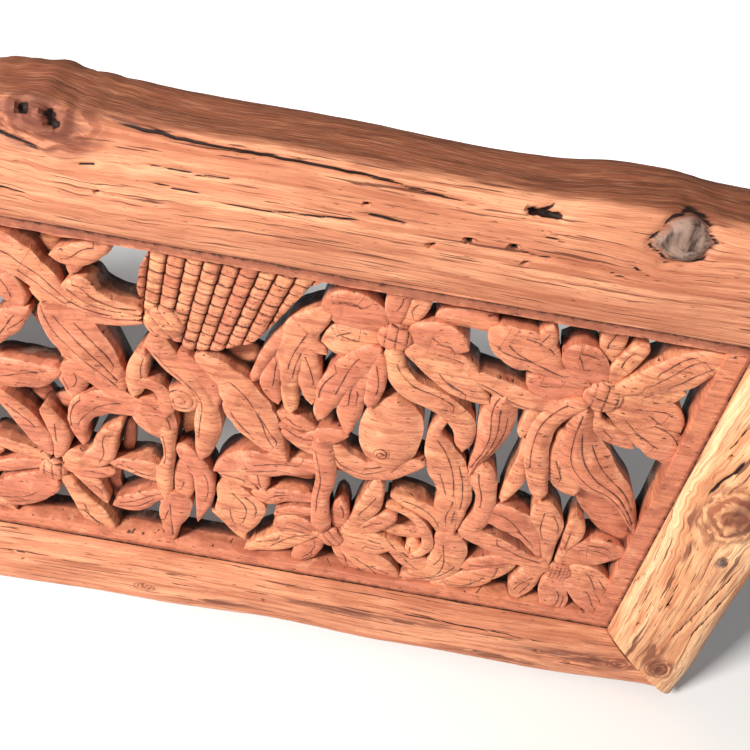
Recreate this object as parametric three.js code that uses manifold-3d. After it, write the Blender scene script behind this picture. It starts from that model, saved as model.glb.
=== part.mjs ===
// A carved and pierced hardwood wall panel in a frame of four split logs.
// Five pieces: one carved board, a top and a bottom rail and two stiles, mitred at the corners.
// X runs along the panel, Z up and Y into the wall. The logs' backs lie in the plane y = 0.
// The origin is on the back of the top rail, halfway along it and halfway up it.

import * as THREE from "three";
import { mergeVertices } from "three/addons/utils/BufferGeometryUtils.js";
import Module from "manifold-3d";

const wasm = await Module();
wasm.setup();

// Driving dimensions, in millimetres and degrees.
const OPENING = { halfLength: 421, halfHeight: 159 }; // the space inside the frame
const BOARD = { front: -38, thickness: 30, underLog: 8 }; // front is its y; underLog goes into the rebate
const MARGIN = { end: 16, top: 10, bottom: 15 }; // the flat rim left round the carving
const LIP = 4; // how far a log's inner edge stands proud of the board
const GAP = 0.3; // clearance between two pieces that touch
const RAILS = {
  top: { width: 90, crown: 18, corner: 15, lean: 5 },
  bottom: { width: 72, crown: 15, corner: 25, lean: 0 },
  stile: { width: 84, crown: 18, corner: 22, lean: 2 },
};
const TOP_RAIL_MIDDLE = OPENING.halfHeight + RAILS.top.width / 2;

const RADIANS = Math.PI / 180;

// ---------------------------------------------------------------------------------------------
// The layout of the carving, seen from the front. Its own origin is the middle of the opening.
// A row is one leaf, petal or stem: its sort, how deep its highest line lies below the board's
// front, and its stations from base to tip. A station is [x, z, width].

const SPRAYS = {
  "scroll leaves, upper left": [
    ["leaf", 0, [17, 91, 6], [-12, 89, 6], [-33, 95, 12], [-49, 109, 22], [-68, 125, 27], [-98, 146, 6]],
    ["scroll", 1, [17, 96, 9], [-2, 95, 13], [-16, 99, 18], [-25, 105, 24], [-33, 107, 9]],
    ["stem", 4, [17, 85, 6], [-4, 81, 8], [-24, 80, 10], [-42, 85, 14], [-58, 97, 6]],
    ["leaf", 3, [-4, 145, 12], [-17, 136, 17], [-29, 130, 16], [-40, 130, 7]],
    ["leaf", 4, [-22, 134, 12], [-26, 126, 12], [-29, 118, 6]],
    ["leaf", 4, [-98, 109, 12], [-80, 97, 24], [-68, 82, 12]],
    ["leaf", 3, [-102, 38, 10], [-89, 55, 20], [-77, 67, 19], [-63, 80, 5]],
    ["fold", 0, [-47, 88, 20], [-35, 69, 38], [-22, 49, 38], [3, 22, 8]],
  ],
  "hook and its leaves": [
    ["stem", 2, [-41, 34, 8], [-25, 29, 13], [-9, 18, 14], [6, 8, 12], [33, 1, 12]],
    ["stem", 1, [11, 24, 9], [18, 30, 10], [28, 28, 11], [34, 18, 11], [34, 4, 12]],
    ["stem", 2, [19, 60, 8], [14, 46, 14], [12, 32, 16], [10, 18, 10]],
    ["leaf", 4, [-39, 30, 14], [-37, 17, 22], [-39, 3, 9]],
    ["leaf", 4, [-108, 10, 16], [-88, 13, 28], [-68, 15, 24], [-48, 23, 8]],
    ["leaf", 1, [13, -1, 16], [-8, 3, 22], [-25, -3, 24], [-35, -18, 18], [-33, -44, 8]],
    ["stem", 2, [18, 8, 24], [25, -7, 34], [34, -22, 16]],
    ["stem", 1, [33, -15, 18], [35, -33, 10], [35, -48, 9], [31, -65, 14], [32, -91, 10]],
  ],
  "flower, lower left": [
    ["petal", 1, [-62, -65, 8], [-68, -52, 17], [-75, -36, 19], [-97, -6, 9]],
    ["petal", 2, [-58, -69, 6], [-53, -55, 13], [-53, -40, 17], [-62, -16, 10]],
    ["petal", 4, [-52, -74, 8], [-43, -64, 12], [-34, -60, 8]],
    ["petal", 2, [-50, -76, 9], [-32, -69, 18], [-19, -55, 20], [-15, -39, 17], [-2, -17, 4]],
    ["petal", 3, [-52, -81, 8], [-36, -82, 13], [-13, -76, 9]],
    ["petal", 4, [-46, -86, 8], [-32, -95, 16], [-20, -115, 6]],
    ["petal", 0, [-53, -92, 8], [-42, -112, 15], [-30, -131, 23], [-12, -149, 3]],
    ["petal", 1, [-64, -98, 18], [-76, -107, 31], [-92, -117, 34], [-122, -135, 14]],
    ["petal", 3, [-71, -82, 8], [-88, -86, 12], [-116, -96, 12]],
    ["petal", 4, [-67, -75, 8], [-84, -70, 12], [-110, -62, 9]],
    ["leaf", 3, [-13, -65, 7], [0, -66, 14], [12, -67, 20], [28, -70, 17]],
    ["scroll", 2, [32, -89, 8], [18, -98, 15], [7, -107, 20], [-11, -114, 10]],
    ["leaf", 0, [40, -90, 22], [40, -102, 27], [36, -121, 20], [37, -152, 2]],
    ["petal", 1, [43, -32, 8], [51, -43, 17], [62, -60, 17], [64, -80, 16], [59, -115, 3]],
    ["petal", 3, [46, -48, 7], [46, -62, 15], [47, -76, 17], [45, -96, 8]],
  ],
  "stems below the seed fan": [
    ["stem", 1, [26, 72, 18], [37, 56, 18], [51, 42, 16], [62, 28, 13], [66, 0, 21], [62, -36, 10]],
    ["stem", 2, [45, 63, 8], [56, 52, 12], [66, 41, 13], [73, 20, 5]],
    ["leaf", 0, [58, 64, 9], [72, 55, 18], [86, 41, 28], [97, 20, 37], [109, 0, 28], [128, -23, 4]],
  ],
  "hanging leaf": [
    ["stem", 4, [144, 122, 9], [125, 104, 12], [110, 82, 10], [98, 50, 7]],
    ["leaf", 3, [119, 79, 8], [112, 62, 13], [111, 48, 16], [117, 34, 8]],
    ["leaf", 2, [146, 120, 10], [133, 108, 22], [125, 90, 24], [124, 64, 15], [127, 29, 11]],
    ["leaf", 2, [133, 90, 10], [138, 74, 15], [139, 58, 17], [142, 41, 8]],
    ["stem", 4, [143, 118, 12], [135, 104, 14], [137, 92, 12], [147, 87, 6]],
    ["leaf", 4, [118, 21, 6], [129, 16, 14], [146, 12, 7]],
    ["leaf", 2, [118, 13, 5], [140, 0, 11], [153, 5, 18], [171, 13, 6]],
    ["stem", 3, [123, 4, 6], [135, -4, 9], [150, -11, 10]],
  ],
  "flower, upper middle": [
    ["petal", 3, [184, 118, 14], [172, 124, 26], [158, 127, 30], [147, 127, 20]],
    ["petal", 4, [190, 120, 10], [191, 136, 17], [190, 150, 14]],
    ["petal", 5, [197, 120, 8], [203, 132, 13], [208, 148, 12]],
    ["petal", 3, [184, 107, 10], [170, 104, 20], [157, 100, 28], [148, 98, 14]],
    ["leaf", 0, [183, 99, 12], [170, 82, 23], [157, 60, 22], [149, 28, 9]],
    ["leaf", 1, [178, 82, 18], [172, 58, 18], [170, 38, 18], [171, 17, 6]],
    ["leaf", 0, [185, 95, 9], [186, 74, 14], [184, 49, 9]],
    ["petal", 2, [203, 116, 14], [221, 117, 25], [240, 113, 12]],
    ["petal", 3, [203, 108, 12], [223, 103, 18], [253, 93, 7]],
    ["petal", 1, [203, 104, 10], [224, 92, 19], [245, 80, 22], [265, 70, 7]],
    ["stem", 1, [194, 100, 14], [197, 85, 16], [207, 72, 18], [241, 56, 18], [253, 44, 18], [257, 22, 11]],
    ["smooth", 0, [203, 50, 28], [203, 36, 45], [203, 14, 46], [207, -8, 28]],
    ["leaf", 2, [161, -1, 9], [173, -17, 19], [189, -23, 20], [205, -19, 20], [231, -4, 8]],
  ],
  "leaves at the middle stem": [
    ["stem", 0, [152, 3, 14], [157, -16, 17], [160, -36, 16], [158, -60, 14], [162, -96, 18]],
    ["leaf", 2, [156, -30, 12], [131, -33, 21], [111, -36, 26], [91, -39, 25], [72, -50, 4]],
    ["leaf", 4, [96, -46, 8], [106, -52, 16], [112, -64, 7]],
    ["leaf", 4, [74, -52, 6], [86, -57, 16], [105, -65, 4]],
    ["leaf", 1, [80, -65, 12], [86, -77, 27], [93, -91, 42], [99, -120, 6]],
    ["stem", 5, [70, -101, 5], [82, -113, 7], [98, -131, 7]],
    ["leaf", 3, [104, -71, 8], [115, -74, 18], [128, -69, 14], [153, -66, 7]],
    ["stem", 3, [124, -91, 8], [137, -83, 10], [154, -82, 10]],
    ["scroll", 2, [127, -102, 18], [141, -101, 22], [158, -107, 12]],
    ["leaf", 1, [159, -104, 10], [146, -114, 17], [130, -124, 21], [101, -141, 6]],
    ["leaf", 2, [164, -115, 7], [154, -128, 20], [143, -149, 8]],
  ],
  "flower, lower middle": [
    ["petal", 5, [176, -102, 8], [176, -87, 16], [174, -65, 9]],
    ["petal", 2, [180, -102, 6], [190, -83, 13], [197, -64, 19], [202, -31, 8]],
    ["petal", 2, [182, -104, 6], [199, -90, 16], [218, -69, 12]],
    ["petal", 1, [182, -107, 12], [198, -107, 28], [219, -107, 16]],
    ["petal", 1, [182, -112, 12], [200, -127, 25], [215, -137, 26], [232, -149, 12]],
    ["petal", 3, [176, -118, 9], [185, -132, 15], [200, -151, 6]],
  ],
  "big scroll": [
    ["leaf", 3, [214, -47, 5], [230, -52, 12], [246, -59, 15], [264, -78, 13]],
    ["leaf", 1, [262, -79, 16], [269, -94, 28], [270, -110, 30], [264, -127, 25], [236, -144, 7]],
    ["leaf", 2, [217, -100, 10], [229, -114, 15], [253, -127, 26]],
    ["stem", 1, [212, -57, 5], [227, -60, 6], [239, -68, 8], [247, -81, 9], [251, -97, 9], [240, -115, 6]],
    ["leaf", 3, [219, -100, 8], [227, -111, 14], [235, -120, 8]],
    ["petal", 4, [240, -97, 8], [240, -106, 13], [241, -116, 9]],
  ],
  "upright leaves": [
    ["leaf", 1, [242, 50, 5], [235, 30, 11], [242, 13, 24], [251, -5, 30], [261, -26, 26], [269, -70, 4]],
    ["leaf", 0, [258, -34, 18], [259, -48, 22], [268, -74, 4]],
    ["fold", 1, [277, 74, 18], [276, 57, 26], [276, 43, 25], [275, 27, 19], [268, -2, 5]],
    ["stem", 1, [276, 6, 12], [280, -10, 20], [285, -26, 16], [287, -45, 17], [278, -72, 18]],
    ["stem", 2, [251, 90, 8], [267, 84, 14], [284, 78, 18], [300, 74, 14], [330, 82, 8]],
    ["stem", 3, [298, 76, 8], [298, 59, 9], [296, 44, 8]],
    ["stem", 5, [303, 40, 8], [304, 16, 10], [304, -2, 14], [299, -30, 7]],
    ["leaf", 1, [289, -46, 20], [305, -48, 27], [319, -54, 26], [342, -84, 4]],
  ],
  "flower, upper end": [
    ["leaf", 2, [329, 100, 6], [306, 106, 13], [290, 116, 30], [274, 121, 32], [256, 130, 10]],
    ["leaf", 3, [287, 118, 14], [292, 130, 15], [293, 141, 9]],
    ["petal", 3, [339, 102, 10], [331, 110, 22], [320, 118, 28], [310, 122, 18]],
    ["petal", 6, [339, 122, 9], [336, 133, 17], [335, 151, 13]],
    ["petal", 4, [342, 100, 8], [346, 115, 14], [356, 138, 11]],
    ["leaf", 0, [348, 99, 8], [364, 110, 20], [379, 120, 29], [392, 131, 28], [411, 143, 6]],
    ["petal", 2, [352, 96, 10], [369, 100, 22], [384, 105, 22], [391, 107, 9]],
    ["petal", 2, [352, 91, 12], [373, 89, 22], [387, 85, 22], [400, 75, 10]],
    ["leaf", 2, [349, 83, 10], [369, 71, 20], [386, 63, 28], [398, 55, 29], [409, 43, 12]],
    ["petal", 3, [339, 80, 8], [346, 64, 12], [359, 57, 15], [374, 51, 8]],
    ["petal", 4, [331, 90, 12], [313, 89, 20], [299, 90, 18], [290, 95, 9]],
    ["stem", 0, [331, 84, 11], [318, 74, 16], [310, 60, 18], [309, 40, 18], [316, 10, 17], [324, -14, 12]],
    ["fold", 0, [334, 78, 11], [337, 52, 26], [345, 32, 38], [359, 16, 34], [379, 2, 22], [408, -40, 3]],
    ["leaf", 3, [327, 54, 10], [329, 32, 17], [337, 12, 24], [346, -3, 22]],
  ],
  "flower, lower end": [
    ["petal", 0, [361, -108, 16], [363, -123, 23], [368, -138, 24], [371, -153, 12]],
    ["petal", 2, [349, -100, 10], [340, -115, 21], [337, -129, 22], [335, -146, 5]],
    ["stem", 1, [351, -98, 14], [331, -94, 16], [313, -85, 18], [276, -71, 15]],
    ["petal", 1, [351, -94, 5], [343, -67, 18], [339, -49, 26], [329, -24, 14]],
    ["petal", 2, [358, -92, 4], [360, -69, 9], [362, -52, 16], [360, -35, 9]],
    ["petal", 2, [362, -96, 6], [370, -79, 25], [383, -71, 31], [406, -65, 9]],
    ["petal", 1, [368, -100, 14], [386, -101, 24], [398, -109, 23], [411, -122, 13]],
    ["petal", 0, [368, -107, 10], [385, -119, 21], [397, -127, 28], [416, -146, 5]],
    ["leaf", 2, [326, -100, 8], [309, -104, 16], [286, -115, 10]],
    ["leaf", 4, [326, -104, 5], [317, -116, 10], [310, -126, 6]],
    ["leaf", 1, [310, -110, 8], [301, -126, 22], [289, -134, 21], [262, -147, 6]],
  ],
  // Wood left standing low between the leaves, mostly out of sight, which ties them together.
  "low webs": [
    ["web", 8, [220, 132, 12], [238, 134, 15], [256, 133, 14]],
    ["web", 8, [212, -90, 12], [228, -91, 15], [246, -89, 14]],
    ["web", 14, [354, -2, 18], [376, -30, 24], [404, -56, 22]],
    ["web", 20, [212, 143, 14], [270, 143, 14], [332, 143, 14]],
    ["web", 18, [118, -50, 20], [152, -50, 20]],
    ["web", 18, [64, 62, 18], [100, 62, 18]],
    ["web", 18, [166, -36, 16], [192, -36, 16]],
    ["web", 20, [-62, 100, 14], [-62, 74, 20], [-48, 40, 14]],
    ["web", 20, [-78, -2, 12], [-66, -20, 20]],
    ["web", 18, [0, -26, 6], [-4, -60, 10], [-18, -94, 12], [-10, -128, 12]],
    ["web", 18, [52, 10, 14], [46, -24, 14]],
    ["web", 18, [-44, 140, 16], [-52, 112, 16]],
    ["web", 18, [-44, 30, 18], [-34, -8, 18], [-58, -22, 16]],
    ["web", 18, [62, -96, 18], [80, -92, 18]],
  ],
};

// Seed heads and round eyes: [x, z, radius, depth].
const SEED_HEADS = [
  [34, 89, 15, 2],
  [193, 110, 12.5, 3],
  [342, 91, 14, 2],
  [362, -101, 11.5, 2],
  [171, -109, 12, 3],
  [-63, -87, 11.5, 3],
  [46, 19, 14, 3],
  [199, 3, 7, 0],
];

// The ends of a blade dip below its highest line: [at the base, at the tip].
const DIPS = {
  leaf: [2, 1], petal: [3, 1], stem: [1, 1], fold: [1, 1], scroll: [0, 1], smooth: [2, 2], web: [0, 0],
};

// The seed fan's rows of scales: the ridge lines lean and spread from a point below the fan.
const FAN = {
  outline: [
    [38, 74], [19, 96], [16, 116], [19, 134], [28, 152], [147, 152],
    [131, 138], [119, 118], [106, 97], [97, 85], [76, 73], [56, 68],
  ],
  rows: 9,
  rowWidth: 9.6,
  firstRow: 30,
  lean: 16, // degrees from upright at the middle row
  spread: 1.6, // degrees from one row to the next
  depth: 6,
  rise: 2.5,
};

const FUSE = 0.8; // corners nearer to each other than this become one

// What is carved right of this line is repeated, mirrored, at the panel's left end.
const MIRROR_FROM = 97;

// ---------------------------------------------------------------------------------------------
// Solids

// A triangle list as a manifold-3d solid.
function solidFrom(positions) {
  const raw = new THREE.BufferGeometry();
  raw.setAttribute("position", new THREE.Float32BufferAttribute(positions, 3));
  const merged = mergeVertices(raw, 1e-4);
  return new wasm.Manifold(
    new wasm.Mesh({
      numProp: 3,
      vertProperties: merged.attributes.position.array,
      triVerts: new Uint32Array(merged.index.array),
    }),
  );
}

// A three.js geometry class, such as an extrusion, as a manifold-3d solid.
function solidOf(geometry) {
  const flat = geometry.index ? geometry.toNonIndexed() : geometry;
  return solidFrom(flat.getAttribute("position").array);
}

// Joins a ring of rings of points into a closed tube with flat fans at both ends.
function loft(rings) {
  const positions = [];
  const triangle = (a, b, c) => positions.push(...a, ...b, ...c);
  rings.slice(1).forEach((ring, i) => {
    const previous = rings[i];
    ring.forEach((point, k) => {
      const next = (k + 1) % ring.length;
      triangle(previous[k], point, previous[next]);
      triangle(point, ring[next], previous[next]);
    });
  });
  const first = rings[0];
  const last = rings[rings.length - 1];
  for (let k = 1; k < first.length - 1; k++) {
    triangle(first[0], first[k], first[k + 1]);
    triangle(last[0], last[k + 1], last[k]);
  }
  return positions;
}

// A broad blade rises to a ridge along its middle, this far above its edges.
const RIDGED = 28;
const RIDGE = 2;

// Which way the blade's middle line runs at one of its stations.
function headingAt(stations, i) {
  const [before, after] = [stations[Math.max(0, i - 1)], stations[Math.min(stations.length - 1, i + 1)]];
  return new THREE.Vector2(after[0] - before[0], after[1] - before[1]).normalize();
}

// A leaf, petal or stem: a section at each station, from the board's back up to its edges.
function blade(sort, depth, stations) {
  const back = BOARD.front + BOARD.thickness;
  const [atBase, atTip] = DIPS[sort];
  const ridged = sort !== "web" && Math.max(...stations.map((station) => station[2])) >= RIDGED;
  const rings = stations.map(([x, z, width], i) => {
    const t = i / (stations.length - 1);
    const heading = headingAt(stations, i);
    const side = new THREE.Vector2(-heading.y, heading.x).multiplyScalar(width / 2);
    const top = BOARD.front + depth + atBase * (1 - t) ** 2 + atTip * t ** 2;
    const edge = ridged ? top + RIDGE : top;
    const crest = ridged ? [[x, top, z]] : [];
    return [
      [x - side.x, back, z - side.y],
      [x - side.x, edge, z - side.y],
      ...crest,
      [x + side.x, edge, z + side.y],
      [x + side.x, back, z + side.y],
    ];
  });
  return solidFrom(loft(rings));
}

// A low dome on a drum, the seed head in the middle of a flower.
function seedHead([x, z, radius, depth]) {
  const shoulder = 2.5;
  const height = BOARD.thickness - depth;
  const profile = [
    new THREE.Vector2(0, 0),
    new THREE.Vector2(radius, 0),
    new THREE.Vector2(radius, height - shoulder),
    new THREE.Vector2(radius * 0.6, height - 0.5),
    new THREE.Vector2(0, height),
  ];
  const head = new THREE.LatheGeometry(profile, 10);
  head.rotateX(Math.PI / 2); // the lathe's axis +Y becomes +Z
  head.rotateX(Math.PI / 2); // and then -Y, towards the room
  head.translate(x, BOARD.front + BOARD.thickness, z);
  return solidOf(head);
}

// An outline in the X-Z plane, made solid from one depth to another.
function slab(points, fromY, toY) {
  const shape = new THREE.Shape(points.map(([x, z]) => new THREE.Vector2(x, z)));
  const geometry = new THREE.ExtrudeGeometry(shape, { depth: toY - fromY, bevelEnabled: false });
  geometry.rotateX(Math.PI / 2); // the outline now lies in X-Z, and the extrusion runs to -Y
  geometry.translate(0, toY, 0);
  return solidOf(geometry);
}

function rectangle(left, right, low, high) {
  return [[left, low], [right, low], [right, high], [left, high]];
}

// The seed fan: a slab with raised, leaning rows, trimmed to the fan's outline.
function seedFan() {
  const back = BOARD.front + BOARD.thickness;
  const body = slab(FAN.outline, BOARD.front + FAN.depth, back);
  const whole = slab(FAN.outline, BOARD.front + FAN.depth - FAN.rise, back);
  const rows = Array.from({ length: FAN.rows }, (_, i) => {
    const angle = (FAN.lean + (i - (FAN.rows - 1) / 2) * FAN.spread) * RADIANS;
    const foot = FAN.firstRow + i * FAN.rowWidth * 1.02;
    const reach = 90;
    const half = FAN.rowWidth * 0.24;
    const shift = Math.tan(angle) * reach;
    return slab(
      [
        [foot - half, 66],
        [foot + half, 66],
        [foot + half + shift, 66 + reach],
        [foot - half + shift, 66 + reach],
      ],
      BOARD.front + FAN.depth - FAN.rise,
      back,
    ).intersect(whole);
  });
  return rows.reduce((sum, row) => sum.add(row), body);
}

// Everything carved, with its lowest x, so that one end can be repeated.
function carvedSolids() {
  const blades = Object.values(SPRAYS).flat().map(([sort, depth, ...stations]) => ({
    x: Math.min(...stations.map((station) => station[0])),
    solid: blade(sort, depth, stations),
  }));
  const heads = SEED_HEADS.map((row) => ({ x: row[0] - row[2], solid: seedHead(row) }));
  return [...blades, ...heads, { x: 0, solid: seedFan() }];
}

function union(solids) {
  return wasm.Manifold.union(solids);
}

// The board: a flat rim with the carving standing in its opening, all one piece of wood.
function carvedBoard() {
  const endX = OPENING.halfLength + BOARD.underLog - GAP;
  const edgeZ = OPENING.halfHeight + BOARD.underLog - GAP;
  const back = BOARD.front + BOARD.thickness;
  const whole = slab(rectangle(-endX, endX, -edgeZ, edgeZ), BOARD.front, back);
  const cutOut = slab(
    rectangle(
      -OPENING.halfLength + MARGIN.end,
      OPENING.halfLength - MARGIN.end,
      -OPENING.halfHeight + MARGIN.bottom,
      OPENING.halfHeight - MARGIN.top,
    ),
    BOARD.front - 1,
    back + 1,
  );
  const carved = carvedSolids();
  const repeated = carved
    .filter(({ x }) => x >= MIRROR_FROM)
    .map(({ solid }) => solid.mirror([1, 0, 0]));
  const carving = union([...carved.map(({ solid }) => solid), ...repeated]);
  return union([whole.subtract(cutOut), carving.intersect(whole)]).simplify(FUSE);
}

// ---------------------------------------------------------------------------------------------
// The frame

// A log's section as [distance out from the opening, y] pairs, inner lip first.
function logSection({ width, crown, corner, lean }) {
  const face = BOARD.front - crown;
  const rebate = BOARD.underLog + GAP;
  const arc = [90, 60, 30, 0].map((angle) => [
    width - lean - corner + corner * Math.cos(angle * RADIANS),
    face + corner - corner * Math.sin(angle * RADIANS),
  ]);
  return [
    [0, BOARD.front - GAP],
    [0, BOARD.front - LIP],
    [width * 0.1, BOARD.front - LIP - crown * 0.35],
    [width * 0.3, face + crown * 0.12],
    ...arc,
    [width, -18],
    [width - 5, 0],
    [rebate, 0],
    [rebate, BOARD.front - GAP],
  ];
}

// How far a log swells or shrinks, as a share of 1, at a place along it.
function swell(place, seed) {
  return (
    0.5 * Math.sin(place / 61 + seed) + 0.3 * Math.sin(place / 27 + 2.3 * seed) +
    0.2 * Math.sin(place / 143 - seed)
  );
}
const SWELL_OUT = 3.2; // the most a log's outer edge wanders
const SWELL_FACE = 1.6; // the most its face does

// One log, drawn lying along X with its opening side towards -Z and then turned into place.
function log(size, halfLength, outerHalfLength, stations, seed) {
  const section = logSection(size);
  const rings = Array.from({ length: stations + 1 }, (_, i) => {
    const share = (2 * i) / stations - 1;
    return section.map(([out, y]) => {
      const mitred = halfLength + (out / size.width) * (outerHalfLength - halfLength);
      const place = share * (mitred - GAP);
      const near = (out / size.width) ** 2;
      const rise = y < BOARD.front - LIP ? 1 : 0;
      const wander = Math.abs(share) === 1 ? 0 : swell(place, seed);
      return [place, y - rise * SWELL_FACE * wander, out + SWELL_OUT * near * wander];
    });
  });
  const geometry = new THREE.BufferGeometry();
  geometry.setAttribute("position", new THREE.Float32BufferAttribute(loft(rings), 3));
  geometry.computeVertexNormals();
  return geometry;
}

const frameWood = new THREE.MeshStandardMaterial({ color: 0xb97a4c, roughness: 0.7, metalness: 0 });
const carvedWood = new THREE.MeshStandardMaterial({ color: 0xa5613f, roughness: 0.65, metalness: 0 });

const outerX = OPENING.halfLength + RAILS.stile.width;
const panel = new THREE.Group();
panel.position.z = -TOP_RAIL_MIDDLE;

const topRail = new THREE.Mesh(log(RAILS.top, OPENING.halfLength, outerX, 14, 1.1), frameWood);
topRail.name = "top_rail";
topRail.position.z = OPENING.halfHeight;
panel.add(topRail);

const bottomRail = new THREE.Mesh(log(RAILS.bottom, OPENING.halfLength, outerX, 14, 2.7), frameWood);
bottomRail.name = "bottom_rail";
bottomRail.rotation.y = Math.PI;
bottomRail.position.z = -OPENING.halfHeight;
panel.add(bottomRail);

// A stile's two ends reach different heights, because the rails have different widths.
function stile(name, side) {
  const mesh = new THREE.Mesh(stileLog(side), frameWood);
  mesh.name = name;
  return mesh;
}

function stileLog(side) {
  const size = RAILS.stile;
  const stations = 10;
  const section = logSection(size);
  const rings = Array.from({ length: stations + 1 }, (_, i) => {
    const share = i / stations;
    return section.map(([out, y]) => {
      const low = -OPENING.halfHeight - (out / size.width) * RAILS.bottom.width + GAP;
      const high = OPENING.halfHeight + (out / size.width) * RAILS.top.width - GAP;
      const place = THREE.MathUtils.lerp(low, high, share);
      const wander = share === 0 || share === 1 ? 0 : swell(place + side * 200, 0.6);
      const rise = y < BOARD.front - LIP ? 1 : 0;
      const outwards = out + SWELL_OUT * (out / size.width) ** 2 * wander;
      return [side * (OPENING.halfLength + outwards), y - rise * SWELL_FACE * wander, place];
    });
  });
  const ordered = side < 0 ? rings : rings.map((ring) => ring.slice().reverse());
  const geometry = new THREE.BufferGeometry();
  geometry.setAttribute("position", new THREE.Float32BufferAttribute(loft(ordered), 3));
  geometry.computeVertexNormals();
  return geometry;
}

panel.add(stile("right_stile", 1), stile("left_stile", -1));

const carving = carvedBoard().getMesh();
const boardGeometry = new THREE.BufferGeometry();
boardGeometry.setAttribute("position", new THREE.BufferAttribute(carving.vertProperties, 3));
boardGeometry.setIndex(new THREE.BufferAttribute(carving.triVerts, 1));
const board = new THREE.Mesh(boardGeometry, carvedWood);
board.name = "carved_board";
panel.add(board);

const object = new THREE.Group();
object.add(panel);

export default object;
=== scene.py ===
import math
import random

import bpy
import numpy as np
from mathutils import Matrix, Vector, noise


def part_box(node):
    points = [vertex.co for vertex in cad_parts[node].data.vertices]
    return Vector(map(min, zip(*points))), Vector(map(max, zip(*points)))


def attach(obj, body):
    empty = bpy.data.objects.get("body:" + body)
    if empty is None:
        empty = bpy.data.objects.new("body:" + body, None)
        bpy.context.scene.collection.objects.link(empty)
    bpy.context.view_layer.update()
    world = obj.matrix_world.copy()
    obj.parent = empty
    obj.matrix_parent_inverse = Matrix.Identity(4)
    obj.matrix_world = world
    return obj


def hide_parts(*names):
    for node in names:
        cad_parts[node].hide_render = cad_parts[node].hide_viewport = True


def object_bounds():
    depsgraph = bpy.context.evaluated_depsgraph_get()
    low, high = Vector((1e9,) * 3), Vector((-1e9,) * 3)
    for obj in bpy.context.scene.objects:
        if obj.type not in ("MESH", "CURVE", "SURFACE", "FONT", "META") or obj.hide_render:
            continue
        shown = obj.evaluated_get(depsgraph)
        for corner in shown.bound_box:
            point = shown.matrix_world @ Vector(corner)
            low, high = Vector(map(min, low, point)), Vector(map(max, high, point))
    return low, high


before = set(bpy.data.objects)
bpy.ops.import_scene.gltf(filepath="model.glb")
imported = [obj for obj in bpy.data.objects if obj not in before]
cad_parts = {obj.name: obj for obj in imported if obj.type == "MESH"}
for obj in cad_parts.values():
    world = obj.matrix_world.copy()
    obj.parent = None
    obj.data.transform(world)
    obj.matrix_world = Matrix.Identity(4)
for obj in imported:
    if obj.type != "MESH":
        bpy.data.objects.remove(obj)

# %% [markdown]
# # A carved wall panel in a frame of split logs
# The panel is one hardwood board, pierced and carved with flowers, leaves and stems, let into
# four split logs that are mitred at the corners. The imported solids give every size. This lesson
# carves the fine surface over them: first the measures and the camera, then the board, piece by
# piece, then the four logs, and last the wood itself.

MM = 0.001
cad_low, cad_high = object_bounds()
board_low, board_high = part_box("carved_board")
MIDDLE = (board_low.z + board_high.z) / 2  # height of the middle of the opening
FRONT = board_low.y / MM  # the board's front face, in millimetres
BACK = board_high.y / MM
OPENING_X, OPENING_Z = 421.0, 159.0  # half the space inside the frame
print(f"board {FRONT:.1f} to {BACK:.1f} mm deep, middle at {MIDDLE / MM:.1f} mm")

# %% [markdown]
# The panel stands on a plain pale floor and is seen from above, turned a little in the view, so
# the camera is tilted down and rolled. A camera's matrix is built from three directions: what
# lies to its right, what lies above it, and what lies behind it.

# %% Camera
TILT, ROLL = math.radians(40.5), math.radians(10)
behind = Vector((0, -math.cos(TILT), math.sin(TILT)))
level, upright = Vector((1, 0, 0)), Vector((0, math.sin(TILT), math.cos(TILT)))
right = math.cos(ROLL) * level + math.sin(ROLL) * upright
above = -math.sin(ROLL) * level + math.cos(ROLL) * upright

camera_data = bpy.data.cameras.new("camera")
camera_data.lens, camera_data.sensor_width = 42.43, 36
camera = bpy.data.objects.new("camera", camera_data)
bpy.context.collection.objects.link(camera)
turn = Matrix((right, above, behind)).transposed().to_4x4()
camera.matrix_world = Matrix.Translation((0.184, -0.5042, 0.2742)) @ turn
bpy.context.scene.camera = camera
print("camera looks down", round(math.degrees(TILT), 1), "degrees")

# %% [markdown]
# A big soft light from the upper left front draws the carving, and a weaker one from the right
# keeps the shadows readable. The floor is pale and slightly rough, so it stays a quiet ground.

# %% Floor and lights
bpy.ops.object.select_all(action="DESELECT")
bpy.ops.mesh.primitive_plane_add(size=8, location=(0, 0, cad_low.z - 0.0005))
floor = bpy.context.object
floor.name = "floor"
floor.data.transform(floor.matrix_world)
floor.matrix_world = Matrix.Identity(4)


def soft_light(name, place, target, size, power, colour):
    """A square area light at a place, aimed at a target."""
    data = bpy.data.lights.new(name, "AREA")
    data.shape, data.size = "SQUARE", size
    data.energy, data.color = power, colour
    lamp = bpy.data.objects.new(name, data)
    bpy.context.collection.objects.link(lamp)
    lamp.location = place
    aim = Vector(target) - Vector(place)
    lamp.rotation_euler = aim.to_track_quat("-Z", "Y").to_euler()
    return lamp


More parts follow.
